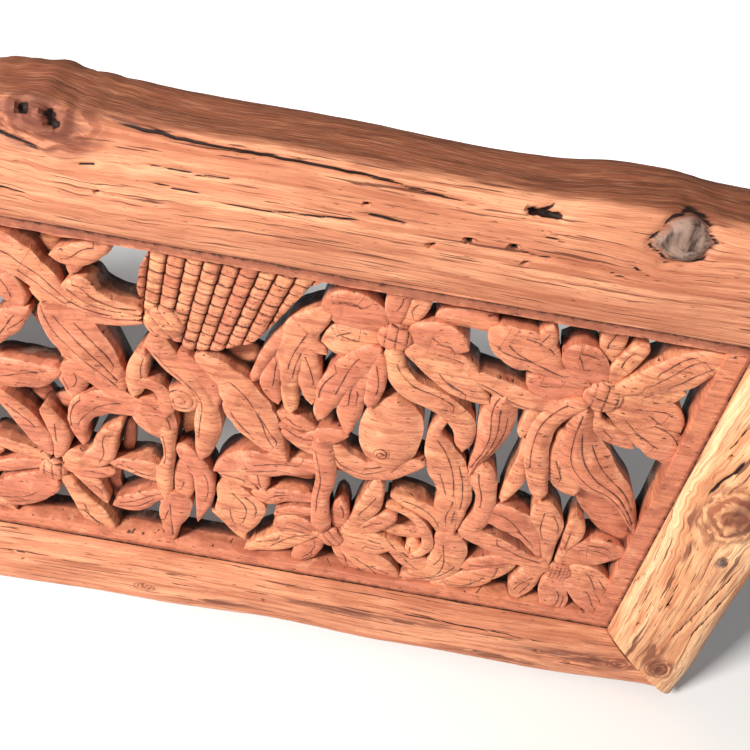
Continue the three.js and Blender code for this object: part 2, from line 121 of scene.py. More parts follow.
soft_light("key", (-1.12, -1.3, 1.15), (0.1, 0, -0.2), 0.5, 86, (1.0, 0.97, 0.93))
soft_light("fill", (1.5, -1.5, 0.3), (0.1, 0, -0.2), 1.4, 6, (0.97, 0.98, 1.0))
far_light = soft_light("far floor", (0.3, 2.3, 0.9), (0.3, 2.5, -0.5), 1.8, 80, (1.0, 1.0, 1.0))
far_light.data.spread = math.radians(110)
world = bpy.data.worlds.new("room")
bpy.context.scene.world = world
world.use_nodes = True
seen = world.node_tree.nodes.new("ShaderNodeLightPath")
glow = world.node_tree.nodes.new("ShaderNodeMapRange")
glow.inputs["To Min"].default_value, glow.inputs["To Max"].default_value = 0.2, 1.0
world.node_tree.links.new(seen.outputs["Is Camera Ray"], glow.inputs["Value"])
world.node_tree.links.new(glow.outputs[0], world.node_tree.nodes["Background"].inputs["Strength"])
world.node_tree.nodes["Background"].inputs["Color"].default_value = (1.0, 1.0, 1.0, 1)
bpy.context.scene.view_settings.view_transform = "Standard"

# %% [markdown]
# ## The carving
# Every leaf, petal and stem is a blade: a line through a few stations, each with a width. The
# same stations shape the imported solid, so the two agree. A row gives the blade's sort, how deep
# its crest lies under the board's front, and its stations from base to tip, in millimetres from
# the middle of the opening.

# %% Layout of the carving
SPRAYS = {
  "scroll leaves, upper left": [
    ["leaf", 0, [17, 91, 6], [-12, 89, 6], [-33, 95, 12], [-49, 109, 22], [-68, 125, 27], [-98, 146, 6]],
    ["scroll", 1, [17, 96, 9], [-2, 95, 13], [-16, 99, 18], [-25, 105, 24], [-33, 107, 9]],
    ["stem", 4, [17, 85, 6], [-4, 81, 8], [-24, 80, 10], [-42, 85, 14], [-58, 97, 6]],
    ["leaf", 3, [-4, 145, 12], [-17, 136, 17], [-29, 130, 16], [-40, 130, 7]],
    ["leaf", 4, [-22, 134, 12], [-26, 126, 12], [-29, 118, 6]],
    ["leaf", 4, [-98, 109, 12], [-80, 97, 24], [-68, 82, 12]],
    ["leaf", 3, [-102, 38, 10], [-89, 55, 20], [-77, 67, 19], [-63, 80, 5]],
    ["fold", 0, [-47, 88, 20], [-35, 69, 38], [-22, 49, 38], [3, 22, 8]],
  ],
  "hook and its leaves": [
    ["stem", 2, [-41, 34, 8], [-25, 29, 13], [-9, 18, 14], [6, 8, 12], [33, 1, 12]],
    ["stem", 1, [11, 24, 9], [18, 30, 10], [28, 28, 11], [34, 18, 11], [34, 4, 12]],
    ["stem", 2, [19, 60, 8], [14, 46, 14], [12, 32, 16], [10, 18, 10]],
    ["leaf", 4, [-39, 30, 14], [-37, 17, 22], [-39, 3, 9]],
    ["leaf", 4, [-108, 10, 16], [-88, 13, 28], [-68, 15, 24], [-48, 23, 8]],
    ["leaf", 1, [13, -1, 16], [-8, 3, 22], [-25, -3, 24], [-35, -18, 18], [-33, -44, 8]],
    ["stem", 2, [18, 8, 24], [25, -7, 34], [34, -22, 16]],
    ["stem", 1, [33, -15, 18], [35, -33, 10], [35, -48, 9], [31, -65, 14], [32, -91, 10]],
  ],
  "flower, lower left": [
    ["petal", 1, [-62, -65, 8], [-68, -52, 17], [-75, -36, 19], [-97, -6, 9]],
    ["petal", 2, [-58, -69, 6], [-53, -55, 13], [-53, -40, 17], [-62, -16, 10]],
    ["petal", 4, [-52, -74, 8], [-43, -64, 12], [-34, -60, 8]],
    ["petal", 2, [-50, -76, 9], [-32, -69, 18], [-19, -55, 20], [-15, -39, 17], [-2, -17, 4]],
    ["petal", 3, [-52, -81, 8], [-36, -82, 13], [-13, -76, 9]],
    ["petal", 4, [-46, -86, 8], [-32, -95, 16], [-20, -115, 6]],
    ["petal", 0, [-53, -92, 8], [-42, -112, 15], [-30, -131, 23], [-12, -149, 3]],
    ["petal", 1, [-64, -98, 18], [-76, -107, 31], [-92, -117, 34], [-122, -135, 14]],
    ["petal", 3, [-71, -82, 8], [-88, -86, 12], [-116, -96, 12]],
    ["petal", 4, [-67, -75, 8], [-84, -70, 12], [-110, -62, 9]],
    ["leaf", 3, [-13, -65, 7], [0, -66, 14], [12, -67, 20], [28, -70, 17]],
    ["scroll", 2, [32, -89, 8], [18, -98, 15], [7, -107, 20], [-11, -114, 10]],
    ["leaf", 0, [40, -90, 22], [40, -102, 27], [36, -121, 20], [37, -152, 2]],
    ["petal", 1, [43, -32, 8], [51, -43, 17], [62, -60, 17], [64, -80, 16], [59, -115, 3]],
    ["petal", 3, [46, -48, 7], [46, -62, 15], [47, -76, 17], [45, -96, 8]],
  ],
  "stems below the seed fan": [
    ["stem", 1, [26, 72, 18], [37, 56, 18], [51, 42, 16], [62, 28, 13], [66, 0, 21], [62, -36, 10]],
    ["stem", 2, [45, 63, 8], [56, 52, 12], [66, 41, 13], [73, 20, 5]],
    ["leaf", 0, [58, 64, 9], [72, 55, 18], [86, 41, 28], [97, 20, 37], [109, 0, 28], [128, -23, 4]],
  ],
  "hanging leaf": [
    ["stem", 4, [144, 122, 9], [125, 104, 12], [110, 82, 10], [98, 50, 7]],
    ["leaf", 3, [119, 79, 8], [112, 62, 13], [111, 48, 16], [117, 34, 8]],
    ["leaf", 2, [146, 120, 10], [133, 108, 22], [125, 90, 24], [124, 64, 15], [127, 29, 11]],
    ["leaf", 2, [133, 90, 10], [138, 74, 15], [139, 58, 17], [142, 41, 8]],
    ["stem", 4, [143, 118, 12], [135, 104, 14], [137, 92, 12], [147, 87, 6]],
    ["leaf", 4, [118, 21, 6], [129, 16, 14], [146, 12, 7]],
    ["leaf", 2, [118, 13, 5], [140, 0, 11], [153, 5, 18], [171, 13, 6]],
    ["stem", 3, [123, 4, 6], [135, -4, 9], [150, -11, 10]],
  ],
  "flower, upper middle": [
    ["petal", 3, [184, 118, 14], [172, 124, 26], [158, 127, 30], [147, 127, 20]],
    ["petal", 4, [190, 120, 10], [191, 136, 17], [190, 150, 14]],
    ["petal", 5, [197, 120, 8], [203, 132, 13], [208, 148, 12]],
    ["petal", 3, [184, 107, 10], [170, 104, 20], [157, 100, 28], [148, 98, 14]],
    ["leaf", 0, [183, 99, 12], [170, 82, 23], [157, 60, 22], [149, 28, 9]],
    ["leaf", 1, [178, 82, 18], [172, 58, 18], [170, 38, 18], [171, 17, 6]],
    ["leaf", 0, [185, 95, 9], [186, 74, 14], [184, 49, 9]],
    ["petal", 2, [203, 116, 14], [221, 117, 25], [240, 113, 12]],
    ["petal", 3, [203, 108, 12], [223, 103, 18], [253, 93, 7]],
    ["petal", 1, [203, 104, 10], [224, 92, 19], [245, 80, 22], [265, 70, 7]],
    ["stem", 1, [194, 100, 14], [197, 85, 16], [207, 72, 18], [241, 56, 18], [253, 44, 18], [257, 22, 11]],
    ["smooth", 0, [203, 50, 28], [203, 36, 45], [203, 14, 46], [207, -8, 28]],
    ["leaf", 2, [161, -1, 9], [173, -17, 19], [189, -23, 20], [205, -19, 20], [231, -4, 8]],
  ],
  "leaves at the middle stem": [
    ["stem", 0, [152, 3, 14], [157, -16, 17], [160, -36, 16], [158, -60, 14], [162, -96, 18]],
    ["leaf", 2, [156, -30, 12], [131, -33, 21], [111, -36, 26], [91, -39, 25], [72, -50, 4]],
    ["leaf", 4, [96, -46, 8], [106, -52, 16], [112, -64, 7]],
    ["leaf", 4, [74, -52, 6], [86, -57, 16], [105, -65, 4]],
    ["leaf", 1, [80, -65, 12], [86, -77, 27], [93, -91, 42], [99, -120, 6]],
    ["stem", 5, [70, -101, 5], [82, -113, 7], [98, -131, 7]],
    ["leaf", 3, [104, -71, 8], [115, -74, 18], [128, -69, 14], [153, -66, 7]],
    ["stem", 3, [124, -91, 8], [137, -83, 10], [154, -82, 10]],
    ["scroll", 2, [127, -102, 18], [141, -101, 22], [158, -107, 12]],
    ["leaf", 1, [159, -104, 10], [146, -114, 17], [130, -124, 21], [101, -141, 6]],
    ["leaf", 2, [164, -115, 7], [154, -128, 20], [143, -149, 8]],
  ],
  "flower, lower middle": [
    ["petal", 5, [176, -102, 8], [176, -87, 16], [174, -65, 9]],
    ["petal", 2, [180, -102, 6], [190, -83, 13], [197, -64, 19], [202, -31, 8]],
    ["petal", 2, [182, -104, 6], [199, -90, 16], [218, -69, 12]],
    ["petal", 1, [182, -107, 12], [198, -107, 28], [219, -107, 16]],
    ["petal", 1, [182, -112, 12], [200, -127, 25], [215, -137, 26], [232, -149, 12]],
    ["petal", 3, [176, -118, 9], [185, -132, 15], [200, -151, 6]],
  ],
  "big scroll": [
    ["leaf", 3, [214, -47, 5], [230, -52, 12], [246, -59, 15], [264, -78, 13]],
    ["leaf", 1, [262, -79, 16], [269, -94, 28], [270, -110, 30], [264, -127, 25], [236, -144, 7]],
    ["leaf", 2, [217, -100, 10], [229, -114, 15], [253, -127, 26]],
    ["stem", 1, [212, -57, 5], [227, -60, 6], [239, -68, 8], [247, -81, 9], [251, -97, 9], [240, -115, 6]],
    ["leaf", 3, [219, -100, 8], [227, -111, 14], [235, -120, 8]],
    ["petal", 4, [240, -97, 8], [240, -106, 13], [241, -116, 9]],
  ],
  "upright leaves": [
    ["leaf", 1, [242, 50, 5], [235, 30, 11], [242, 13, 24], [251, -5, 30], [261, -26, 26], [269, -70, 4]],
    ["leaf", 0, [258, -34, 18], [259, -48, 22], [268, -74, 4]],
    ["fold", 1, [277, 74, 18], [276, 57, 26], [276, 43, 25], [275, 27, 19], [268, -2, 5]],
    ["stem", 1, [276, 6, 12], [280, -10, 20], [285, -26, 16], [287, -45, 17], [278, -72, 18]],
    ["stem", 2, [251, 90, 8], [267, 84, 14], [284, 78, 18], [300, 74, 14], [330, 82, 8]],
    ["stem", 3, [298, 76, 8], [298, 59, 9], [296, 44, 8]],
    ["stem", 5, [303, 40, 8], [304, 16, 10], [304, -2, 14], [299, -30, 7]],
    ["leaf", 1, [289, -46, 20], [305, -48, 27], [319, -54, 26], [342, -84, 4]],
  ],
  "flower, upper end": [
    ["leaf", 2, [329, 100, 6], [306, 106, 13], [290, 116, 30], [274, 121, 32], [256, 130, 10]],
    ["leaf", 3, [287, 118, 14], [292, 130, 15], [293, 141, 9]],
    ["petal", 3, [339, 102, 10], [331, 110, 22], [320, 118, 28], [310, 122, 18]],
    ["petal", 6, [339, 122, 9], [336, 133, 17], [335, 151, 13]],
    ["petal", 4, [342, 100, 8], [346, 115, 14], [356, 138, 11]],
    ["leaf", 0, [348, 99, 8], [364, 110, 20], [379, 120, 29], [392, 131, 28], [411, 143, 6]],
    ["petal", 2, [352, 96, 10], [369, 100, 22], [384, 105, 22], [391, 107, 9]],
    ["petal", 2, [352, 91, 12], [373, 89, 22], [387, 85, 22], [400, 75, 10]],
    ["leaf", 2, [349, 83, 10], [369, 71, 20], [386, 63, 28], [398, 55, 29], [409, 43, 12]],
    ["petal", 3, [339, 80, 8], [346, 64, 12], [359, 57, 15], [374, 51, 8]],
    ["petal", 4, [331, 90, 12], [313, 89, 20], [299, 90, 18], [290, 95, 9]],
    ["stem", 0, [331, 84, 11], [318, 74, 16], [310, 60, 18], [309, 40, 18], [316, 10, 17], [324, -14, 12]],
    ["fold", 0, [334, 78, 11], [337, 52, 26], [345, 32, 38], [359, 16, 34], [379, 2, 22], [408, -40, 3]],
    ["leaf", 3, [327, 54, 10], [329, 32, 17], [337, 12, 24], [346, -3, 22]],
  ],
  "flower, lower end": [
    ["petal", 0, [361, -108, 16], [363, -123, 23], [368, -138, 24], [371, -153, 12]],
    ["petal", 2, [349, -100, 10], [340, -115, 21], [337, -129, 22], [335, -146, 5]],
    ["stem", 1, [351, -98, 14], [331, -94, 16], [313, -85, 18], [276, -71, 15]],
    ["petal", 1, [351, -94, 5], [343, -67, 18], [339, -49, 26], [329, -24, 14]],
    ["petal", 2, [358, -92, 4], [360, -69, 9], [362, -52, 16], [360, -35, 9]],
    ["petal", 2, [362, -96, 6], [370, -79, 25], [383, -71, 31], [406, -65, 9]],
    ["petal", 1, [368, -100, 14], [386, -101, 24], [398, -109, 23], [411, -122, 13]],
    ["petal", 0, [368, -107, 10], [385, -119, 21], [397, -127, 28], [416, -146, 5]],
    ["leaf", 2, [326, -100, 8], [309, -104, 16], [286, -115, 10]],
    ["leaf", 4, [326, -104, 5], [317, -116, 10], [310, -126, 6]],
    ["leaf", 1, [310, -110, 8], [301, -126, 22], [289, -134, 21], [262, -147, 6]],
  ],
  # Wood left standing low between the leaves, mostly out of sight, which ties them together.
  "low webs": [
    ["web", 8, [220, 132, 12], [238, 134, 15], [256, 133, 14]],
    ["web", 8, [212, -90, 12], [228, -91, 15], [246, -89, 14]],
    ["web", 14, [354, -2, 18], [376, -30, 24], [404, -56, 22]],
    ["web", 20, [212, 143, 14], [270, 143, 14], [332, 143, 14]],
    ["web", 18, [118, -50, 20], [152, -50, 20]],
    ["web", 18, [64, 62, 18], [100, 62, 18]],
    ["web", 18, [166, -36, 16], [192, -36, 16]],
    ["web", 20, [-62, 100, 14], [-62, 74, 20], [-48, 40, 14]],
    ["web", 20, [-78, -2, 12], [-66, -20, 20]],
    ["web", 18, [0, -26, 6], [-4, -60, 10], [-18, -94, 12], [-10, -128, 12]],
    ["web", 18, [52, 10, 14], [46, -24, 14]],
    ["web", 18, [-44, 140, 16], [-52, 112, 16]],
    ["web", 18, [-44, 30, 18], [-34, -8, 18], [-58, -22, 16]],
    ["web", 18, [62, -96, 18], [80, -92, 18]],
  ],
}

SEED_HEADS = [  # x, z, radius, depth, cut
    (34, 89, 15, 2, "slanted"),
    (193, 110, 12.5, 3, "crossed"),
    (342, 91, 14, 2, "crossed"),
    (362, -101, 11.5, 2, "stippled"),
    (171, -109, 12, 3, "slanted"),
    (-63, -87, 11.5, 3, "crossed"),
    (46, 19, 14, 3, "spiral"),
    (199, 3, 7, 0, "spiral"),
]
DIPS = {  # how far a blade sinks below its crest at the base and at the tip
    "leaf": (2, 1), "petal": (3, 1), "stem": (1, 1), "fold": (1, 1), "scroll": (0, 1),
    "smooth": (2, 2), "web": (0, 0),
}
MIRROR_FROM = 97  # what is carved right of this line is repeated, mirrored, at the left end
rows = [row for spray in SPRAYS.values() for row in spray]
print(len(rows), "blades and", len(SEED_HEADS), "seed heads")

# %% [markdown]
# A curve through all the stations is smoother than straight pieces between them. A cubic curve
# that leaves each station along the line between its neighbours gives this, for the place and
# the width at once.


# %% A smooth line through the stations
def smooth_line(stations, step):
    """x, z and width at even steps along a cubic curve through the stations, and the length."""
    points = np.array(stations, float)
    spans = np.hypot(*np.diff(points[:, :2], axis=0).T)
    at = np.concatenate([[0], np.cumsum(spans)])
    slopes = np.gradient(points, at, axis=0)
    count = max(8, int(at[-1] / step))
    along = np.linspace(0, at[-1], count)
    i = np.clip(np.searchsorted(at, along, side="right") - 1, 0, len(spans) - 1)
    h = spans[i][:, None]
    t = ((along - at[i]) / spans[i])[:, None]
    line = (
        (2 * t**3 - 3 * t**2 + 1) * points[i] + (t**3 - 2 * t**2 + t) * h * slopes[i]
        + (3 * t**2 - 2 * t**3) * points[i + 1] + (t**3 - t**2) * h * slopes[i + 1]
    )
    return line, at[-1]


# %% [markdown]
# A carver rounds a blade's shoulders, hollows the petals, scallops the leaves' edges and then
# cuts veins with a parting tool. The veins are kept as distances, measured across the blade to
# the nearest three cuts, so that the wood's material can paint each cut as a fine near-black line,
# painted shade in the cut, while the mesh carries its shallow hollow.

# %% How each sort of blade is shaped
STEP = 3.3  # millimetres between two sections of a blade
ACROSS = 2.0  # millimetres between two points of a section
SHAPES = {  # crown is the drop at the edge, square how late it falls, cup the hollow in the middle
    "leaf": dict(crown=3.2, square=3.6, cup=0.5, lobes=0.13),
    "petal": dict(crown=2.8, square=4.5, cup=1.0, lobes=0.05),
    "stem": dict(crown=3.4, square=2.6, cup=0.0, lobes=0.02),
    "fold": dict(crown=3.4, square=2.6, cup=0.0, lobes=0.03),
    "scroll": dict(crown=3.0, square=3.0, cup=0.3, lobes=0.02),
    "smooth": dict(crown=5.0, square=2.2, cup=0.0, lobes=0.0),
    "web": dict(crown=3.0, square=2.0, cup=0.0, lobes=0.05),
}
FAR = 30.0  # a distance that means no cut is near


def vein_lines(sort, length, widest, along, offset, half, dice):
    """Signed distances, in millimetres, from each point to three cuts along a blade."""
    share = along / length
    wave = dice.uniform(0, 6.3)
    bend = np.sin(share * dice.uniform(4.5, 6.5) + wave)
    lines = [np.full_like(offset, FAR) for _ in range(3)]

    def cut(place, first, last):
        outside = np.maximum(first - share, 0) + np.maximum(share - last, 0)
        return offset - place + outside * length * 8

    side = dice.choice((-1, 1))
    if sort == "leaf" and widest > 13:
        lines[0] = cut(0.34 * half * bend, dice.uniform(0.08, 0.25), dice.uniform(0.6, 0.88))
        if widest > 17:
            first = dice.uniform(0.3, 0.5)
            lines[1] = cut(side * half * (0.5 + 0.2 * bend), first, first + dice.uniform(0.2, 0.4))
        if widest > 27:
            lines[2] = cut(-side * half * (0.55 - 0.2 * bend), dice.uniform(0.4, 0.55), 0.85)
    elif sort == "petal" and widest > 12:
        lines[0] = cut(0.4 * half * bend, dice.uniform(0.3, 0.45), dice.uniform(0.7, 0.86))
        if widest > 21:
            lines[1] = cut(side * half * (0.5 + 0.2 * bend), 0.5, 0.8)
    elif sort == "stem" and widest > 14:
        lines[0] = cut(side * half * (0.5 + 0.15 * bend), 0.1, dice.uniform(0.5, 0.85))
    elif sort == "fold":
        lines[0] = cut(half * (-0.35 + 0.2 * bend), 0.03, 0.95)
        lines[1] = cut(half * (0.1 + 0.15 * bend), 0.15, 0.9)
        lines[2] = cut(half * (0.55 + 0.1 * bend), 0.25, 0.8)
    elif sort == "scroll":
        lines[0] = cut(-0.35 * half, 0.05, 0.9)
        lines[1] = cut(0.25 * half * (1 + 0.3 * bend), 0.25, 0.95)
    return np.stack(lines, axis=-1)


def blade_mesh(sort, depth, stations, seed):
    """One blade as rings of points round it, with its cuts, its tone and its shoulder wear."""
    dice = random.Random(seed)
    shape = SHAPES[sort]
    stations = [list(station) for station in stations]
    widest = max(station[2] for station in stations)
    base_round, tip_round = 0.28 * stations[0][2], 0.32 * stations[-1][2]
    for end, inner, grow in ((0, 1, base_round), (-1, -2, tip_round)):
        run = Vector(stations[end][:2]) - Vector(stations[inner][:2])
        run = run.normalized() * grow
        stations[end][0] += run.x
        stations[end][1] += run.y
    line, length = smooth_line(stations, STEP)
    rings = len(line)
    along = np.linspace(0, length, rings)[:, None]
    share = along / length
    run = np.gradient(line[:, :2], axis=0)
    run /= np.maximum(np.hypot(*run.T), 1e-6)[:, None]
    aside = np.stack([-run[:, 1], run[:, 0]], axis=-1)

    half = np.maximum(line[:, 2:3], 1.2) / 2
    for distance, reach in ((along, base_round * 2.2 + 0.1), (length - along, tip_round * 2.2 + 0.1)):
        near = np.clip(distance / reach, 0, 1)
        half = np.maximum(half * np.sqrt(1 - (1 - near) ** 2), 0.45)
    t = np.linspace(-1, 1, max(5, int(widest / ACROSS)) | 1)[None, :]
    t = np.sin(t * math.pi / 2 * 0.72) / math.sin(math.pi / 2 * 0.72)
    lobes = max(1, round(length / 21))
    phase = np.where(t < 0, dice.uniform(0, 3), dice.uniform(0, 3))
    scallop = np.abs(np.sin(share * math.pi * lobes + phase)) ** 0.55
    half = half * (1 + shape["lobes"] * (scallop - 0.7) * np.abs(t) ** 2)
    offset = t * half
    veins = vein_lines(sort, length, widest, along + 0 * t, offset, half, dice)

    at_base, at_tip = DIPS[sort]
    crown = min(shape["crown"], widest * 0.17)
    drop = crown * np.abs(t) ** shape["square"]
    drop = drop + shape["cup"] * (1 - t**2) * np.minimum(widest / 20, 1.3)
    if sort == "fold":
        drop = drop + np.where(t > -0.2, (t + 0.2) * 2.6, (-0.2 - t) * 1.2)
    groove = 0.8 * np.exp(-(np.abs(veins).min(axis=-1) / 0.9) ** 2)
    lift = FRONT + depth + at_base * (1 - share) ** 2 + at_tip * share**2
    top = lift + drop + groove

    x = line[:, 0:1] + aside[:, 0:1] * offset
    z = line[:, 1:2] + aside[:, 1:2] * offset
    for i, k in np.ndindex(*x.shape):
        place = Vector((x[i, k], z[i, k], seed * 3.1))
        top[i, k] += 0.9 * noise.noise(place / 13) + 0.25 * noise.noise(place / 4)

    def wall(column, y, pull):
        scale = 1 - pull / np.maximum(np.abs(offset[:, column]), 1)
        return np.stack([
            line[:, 0] + aside[:, 0] * offset[:, column] * scale, y + 0 * along[:, 0],
            line[:, 1] + aside[:, 1] * offset[:, column] * scale,
        ], axis=-1)

    surface = np.stack([x, top, z], axis=-1)
    back = BACK - 0.02 * (seed % 9)
    edges = []
    for column in (0, -1):
        edge = top[:, column]
        edges.append([
            wall(column, edge + 1.1, -0.15), wall(column, edge + 6, 0.15),
            wall(column, (edge + back) / 2 + 4, 0.5), wall(column, back, 0.9),
        ])
    columns = [*reversed(edges[0]), *np.moveaxis(surface, 1, 0), *edges[1]]
    points = np.stack(columns, axis=1)
    walls = len(edges[0])
    pad = np.full((rings, walls, 3), FAR)
    cuts = np.concatenate([pad, veins, pad], axis=1)
    shoulder = np.concatenate([
        np.zeros((rings, walls)), np.abs(t) ** 8 + 0 * offset, np.zeros((rings, walls))
    ], axis=1)
    tone = np.full(shoulder.shape, dice.uniform(0, 1))
    return points, cuts, shoulder, tone


# %% [markdown]
# The rings of a blade are joined into a closed tube. The blades are gathered as plain arrays
# first and made one mesh at the end, which is much faster than joining many objects.


# %% Gathering closed shells
class Shells:
    """Points, faces and the values kept at each point, gathered for one mesh."""

    def __init__(self):
        self.points, self.faces, self.cuts, self.shoulder, self.tone = [], [], [], [], []
        self.count = 0

    def add(self, points, faces, cuts, shoulder, tone):
        self.points.append(points)
        self.faces += [[self.count + k for k in face] for face in faces]
        self.cuts.append(cuts)
        self.shoulder.append(shoulder)
        self.tone.append(tone)
        self.count += len(points)

    def add_rings(self, points, cuts, shoulder, tone):
        """Joins each ring to the next and closes both ends."""
        rings, around = points.shape[:2]
        faces = []
        for i in range(rings - 1):
            for k in range(around):
                n = (k + 1) % around
                a, b = i * around, (i + 1) * around
                faces.append((a + k, a + n, b + n, b + k))
        faces.append(tuple(range(around - 1, -1, -1)))
        faces.append(tuple((rings - 1) * around + k for k in range(around)))
        self.add(points.reshape(-1, 3), faces, cuts.reshape(-1, 3), shoulder.ravel(), tone.ravel())


shells = Shells()
for number, (sort, depth, *stations) in enumerate(rows):
    copies = [stations]
    if min(station[0] for station in stations) >= MIRROR_FROM:
        copies.append([(-x, z, width) for x, z, width in stations])
    for copy, line in enumerate(copies):
        shells.add_rings(*blade_mesh(sort, depth, line, number + 500 * copy))
print("blades:", shells.count, "points")

# %% [markdown]
# ## The seed heads
# Each flower has a low round seed head. It is turned like a button: a sphere cut in half,
# flattened and given a straight side down to the board's back. Then the cuts are pressed in:
# slanted lines, a cross of lines, stippling or a spiral.


# %% A seed head
def cut_distance(kind, x, z, radius):
    """Distance in millimetres from a place on a seed head to its nearest cut."""
    if kind == "slanted":
        across = x * 0.78 + z * 0.62
        return np.abs((across + radius * 2) % (radius * 0.52) - radius * 0.26)
    if kind == "crossed":
        first = np.abs((x + radius * 2) % (radius * 0.6) - radius * 0.3)
        second = np.abs((z * 0.9 + x * 0.2 + radius * 2) % (radius * 0.8) - radius * 0.4)
        return np.minimum(first, second)
    if kind == "stippled":
        first = np.abs((x + radius * 2) % 3.4 - 1.7)
        second = np.abs((z + radius * 2) % 3.4 - 1.7)
        return 2.2 - np.hypot(first, second)
    turns = np.arctan2(z, x) / (2 * math.pi)
    pitch = radius * 0.42
    return np.abs((np.hypot(x, z) / pitch - turns) % 1 - 0.5) * pitch


def seed_head(x, z, radius, depth, kind, mirrored, seed):
    """A half sphere with straight sides and its cuts, as points and faces."""
    bpy.ops.object.select_all(action="DESELECT")
    bpy.ops.mesh.primitive_uv_sphere_add(segments=44, ring_count=28, radius=radius)
    head = bpy.context.object
    bpy.ops.object.mode_set(mode="EDIT")
    bpy.ops.mesh.select_all(action="SELECT")
    bpy.ops.mesh.bisect(plane_co=(0, 0, 0), plane_no=(0, 0, 1), clear_inner=True, use_fill=False)
    bpy.ops.mesh.select_all(action="DESELECT")
    bpy.ops.mesh.select_non_manifold()
    bpy.ops.mesh.extrude_region_move(TRANSFORM_OT_translate={"value": (0, 0, -1)})
    bpy.ops.mesh.edge_face_add()
    bpy.ops.object.mode_set(mode="OBJECT")
    mesh = head.data
    points = np.empty(len(mesh.vertices) * 3)
    mesh.vertices.foreach_get("co", points)
    points = points.reshape(-1, 3)
    flat = points[:, 2] > -0.5
    reach = np.hypot(points[:, 0], points[:, 1]) / radius
    near = cut_distance(kind, points[:, 0], points[:, 1], radius)
    near = np.where(flat, near, FAR)
    fall = 1.4 * reach**2 + 3.2 * reach**9
    top = FRONT + depth - 0.8 + fall + 0.9 * np.exp(-(near / 0.8) ** 2)
    y = np.where(flat, top, BACK - 0.1)
    across = -points[:, 0] if mirrored else points[:, 0]
    placed = np.stack([x + across, y, z + points[:, 1] * 0.94], axis=-1)
    faces = [tuple(face.vertices) for face in mesh.polygons]
    bpy.data.objects.remove(head)
    signed = np.stack([near, np.full_like(near, FAR), np.full_like(near, FAR)], axis=-1)
    tone = np.full(len(points), random.Random(seed).uniform(0.2, 0.8))
    return placed, faces, signed, np.where(flat, reach**8, 0), tone


for number, (x, z, radius, depth, kind) in enumerate(SEED_HEADS):
    shells.add(*seed_head(x, z, radius, depth, kind, False, number))
    if x - radius >= MIRROR_FROM:
        shells.add(*seed_head(-x, z, radius, depth, kind, True, number + 50))
print("with the seed heads:", shells.count, "points")

# %% [markdown]
# ## The seed fan
# Beside the first flower stands a fan of scales: leaning rows, each cut across into short
# bricks. A row is a tube again, but its two ends follow the fan's outline, so every line of
# points along the row is first clipped to that outline.

# %% The fan's rows
FAN = {
    "outline": [
        (38, 74), (19, 96), (16, 116), (19, 134), (28, 152), (147, 152),
        (131, 138), (119, 118), (106, 97), (97, 85), (76, 73), (56, 68),
    ],
    "rows": range(-2, 9),
    "row_width": 9.79,
    "first_foot": 30,
    "lean": 16,
    "spread": 1.6,
    "depth": 3.4,
    "brick": 8.6,
}


def fan_line(row):
    """Where a leaning line of the fan starts and ends inside the outline, or None."""
    foot = FAN["first_foot"] + row * FAN["row_width"]
    slope = math.tan(math.radians(FAN["lean"] + (row - 4) * FAN["spread"]))
    heights = []
    outline = FAN["outline"]
    for (x0, z0), (x1, z1) in zip(outline, outline[1:] + outline[:1]):
        side0 = x0 - foot - slope * (z0 - 66)
        side1 = x1 - foot - slope * (z1 - 66)
        if side0 * side1 < 0:
            heights.append(z0 + (z1 - z0) * side0 / (side0 - side1))
    if len(heights) < 2:
        return None
    return foot, slope, min(heights), max(heights)


def fan_row(row):
    """One row of bricks as rings along it."""
    dice = random.Random(900 + row)
    lines = [(share, fan_line(row + share)) for share in np.linspace(-0.5, 0.5, 11)]
    lines = [(share, line) for share, line in lines if line]
    if len(lines) < 4:
        return
    middle = lines[len(lines) // 2][1]
    count = max(8, int((middle[3] - middle[2]) / 1.25))
    rings, cuts, shoulder = [], [], []
    start = dice.uniform(0, FAN["brick"])
    heights = [dice.uniform(-0.7, 0.7) for _ in range(30)]
    tilts = [dice.uniform(-0.8, 0.8) for _ in range(30)]
    for i in range(count):
        ring, ring_cuts = [], []
        for share, (foot, slope, low, high) in lines:
            z = low + (high - low) * i / (count - 1)
            x = foot + slope * (z - 66)
            place = (z - 60 + start + share * 2.0) / FAN["brick"]
            brick, inside = int(place), place % 1 - 0.5
            gap = (0.5 - abs(inside)) * FAN["brick"] * (1 if inside < 0 else -1)
            side_gap = (0.5 - abs(share)) * FAN["row_width"]
            top = FRONT + FAN["depth"] + heights[brick] + tilts[brick] * inside
            top += (row % 2) * 1.0 + 1.6 * abs(share * 2) ** 3
            top += 1.3 * math.exp(-((gap / 0.8) ** 2)) + 1.2 * math.exp(-((side_gap / 0.7) ** 2))
            top += 0.6 * noise.noise(Vector((x / 5, z / 5, row)))
            edge = min(i, count - 1 - i) / 2.5
            top += 2.2 * max(0, 1 - edge) ** 2
            ring.append((x, top, z))
            ring_cuts.append((gap, side_gap + 0.15, FAR))
        left, right = ring[0], ring[-1]
        ring = [(left[0], BACK - 0.15, left[2]), *ring, (right[0], BACK - 0.15, right[2])]
        rings.append(ring)
        cuts.append([(FAR,) * 3, *ring_cuts, (FAR,) * 3])
        shoulder.append([0] * len(ring))
    rings, cuts, shoulder = np.array(rings), np.array(cuts), np.array(shoulder, float)
    shells.add_rings(rings, cuts, shoulder, shoulder + dice.uniform(0, 1))


for row in FAN["rows"]:
    fan_row(row)
print("with the seed fan:", shells.count, "points")

# %% [markdown]
# ## The board's rim
# The carving stands in a flat rim that goes into the logs' rebates. The rim is four bars of the
# same wood. Their faces share one gentle unevenness that depends only on the place, so the bars
# run into one another without a step.

# %% The rim
RIM = {"end": 16, "top": 10, "bottom": 15}
REACH_X, REACH_Z = board_high.x / MM, (board_high.z - board_low.z) / 2 / MM


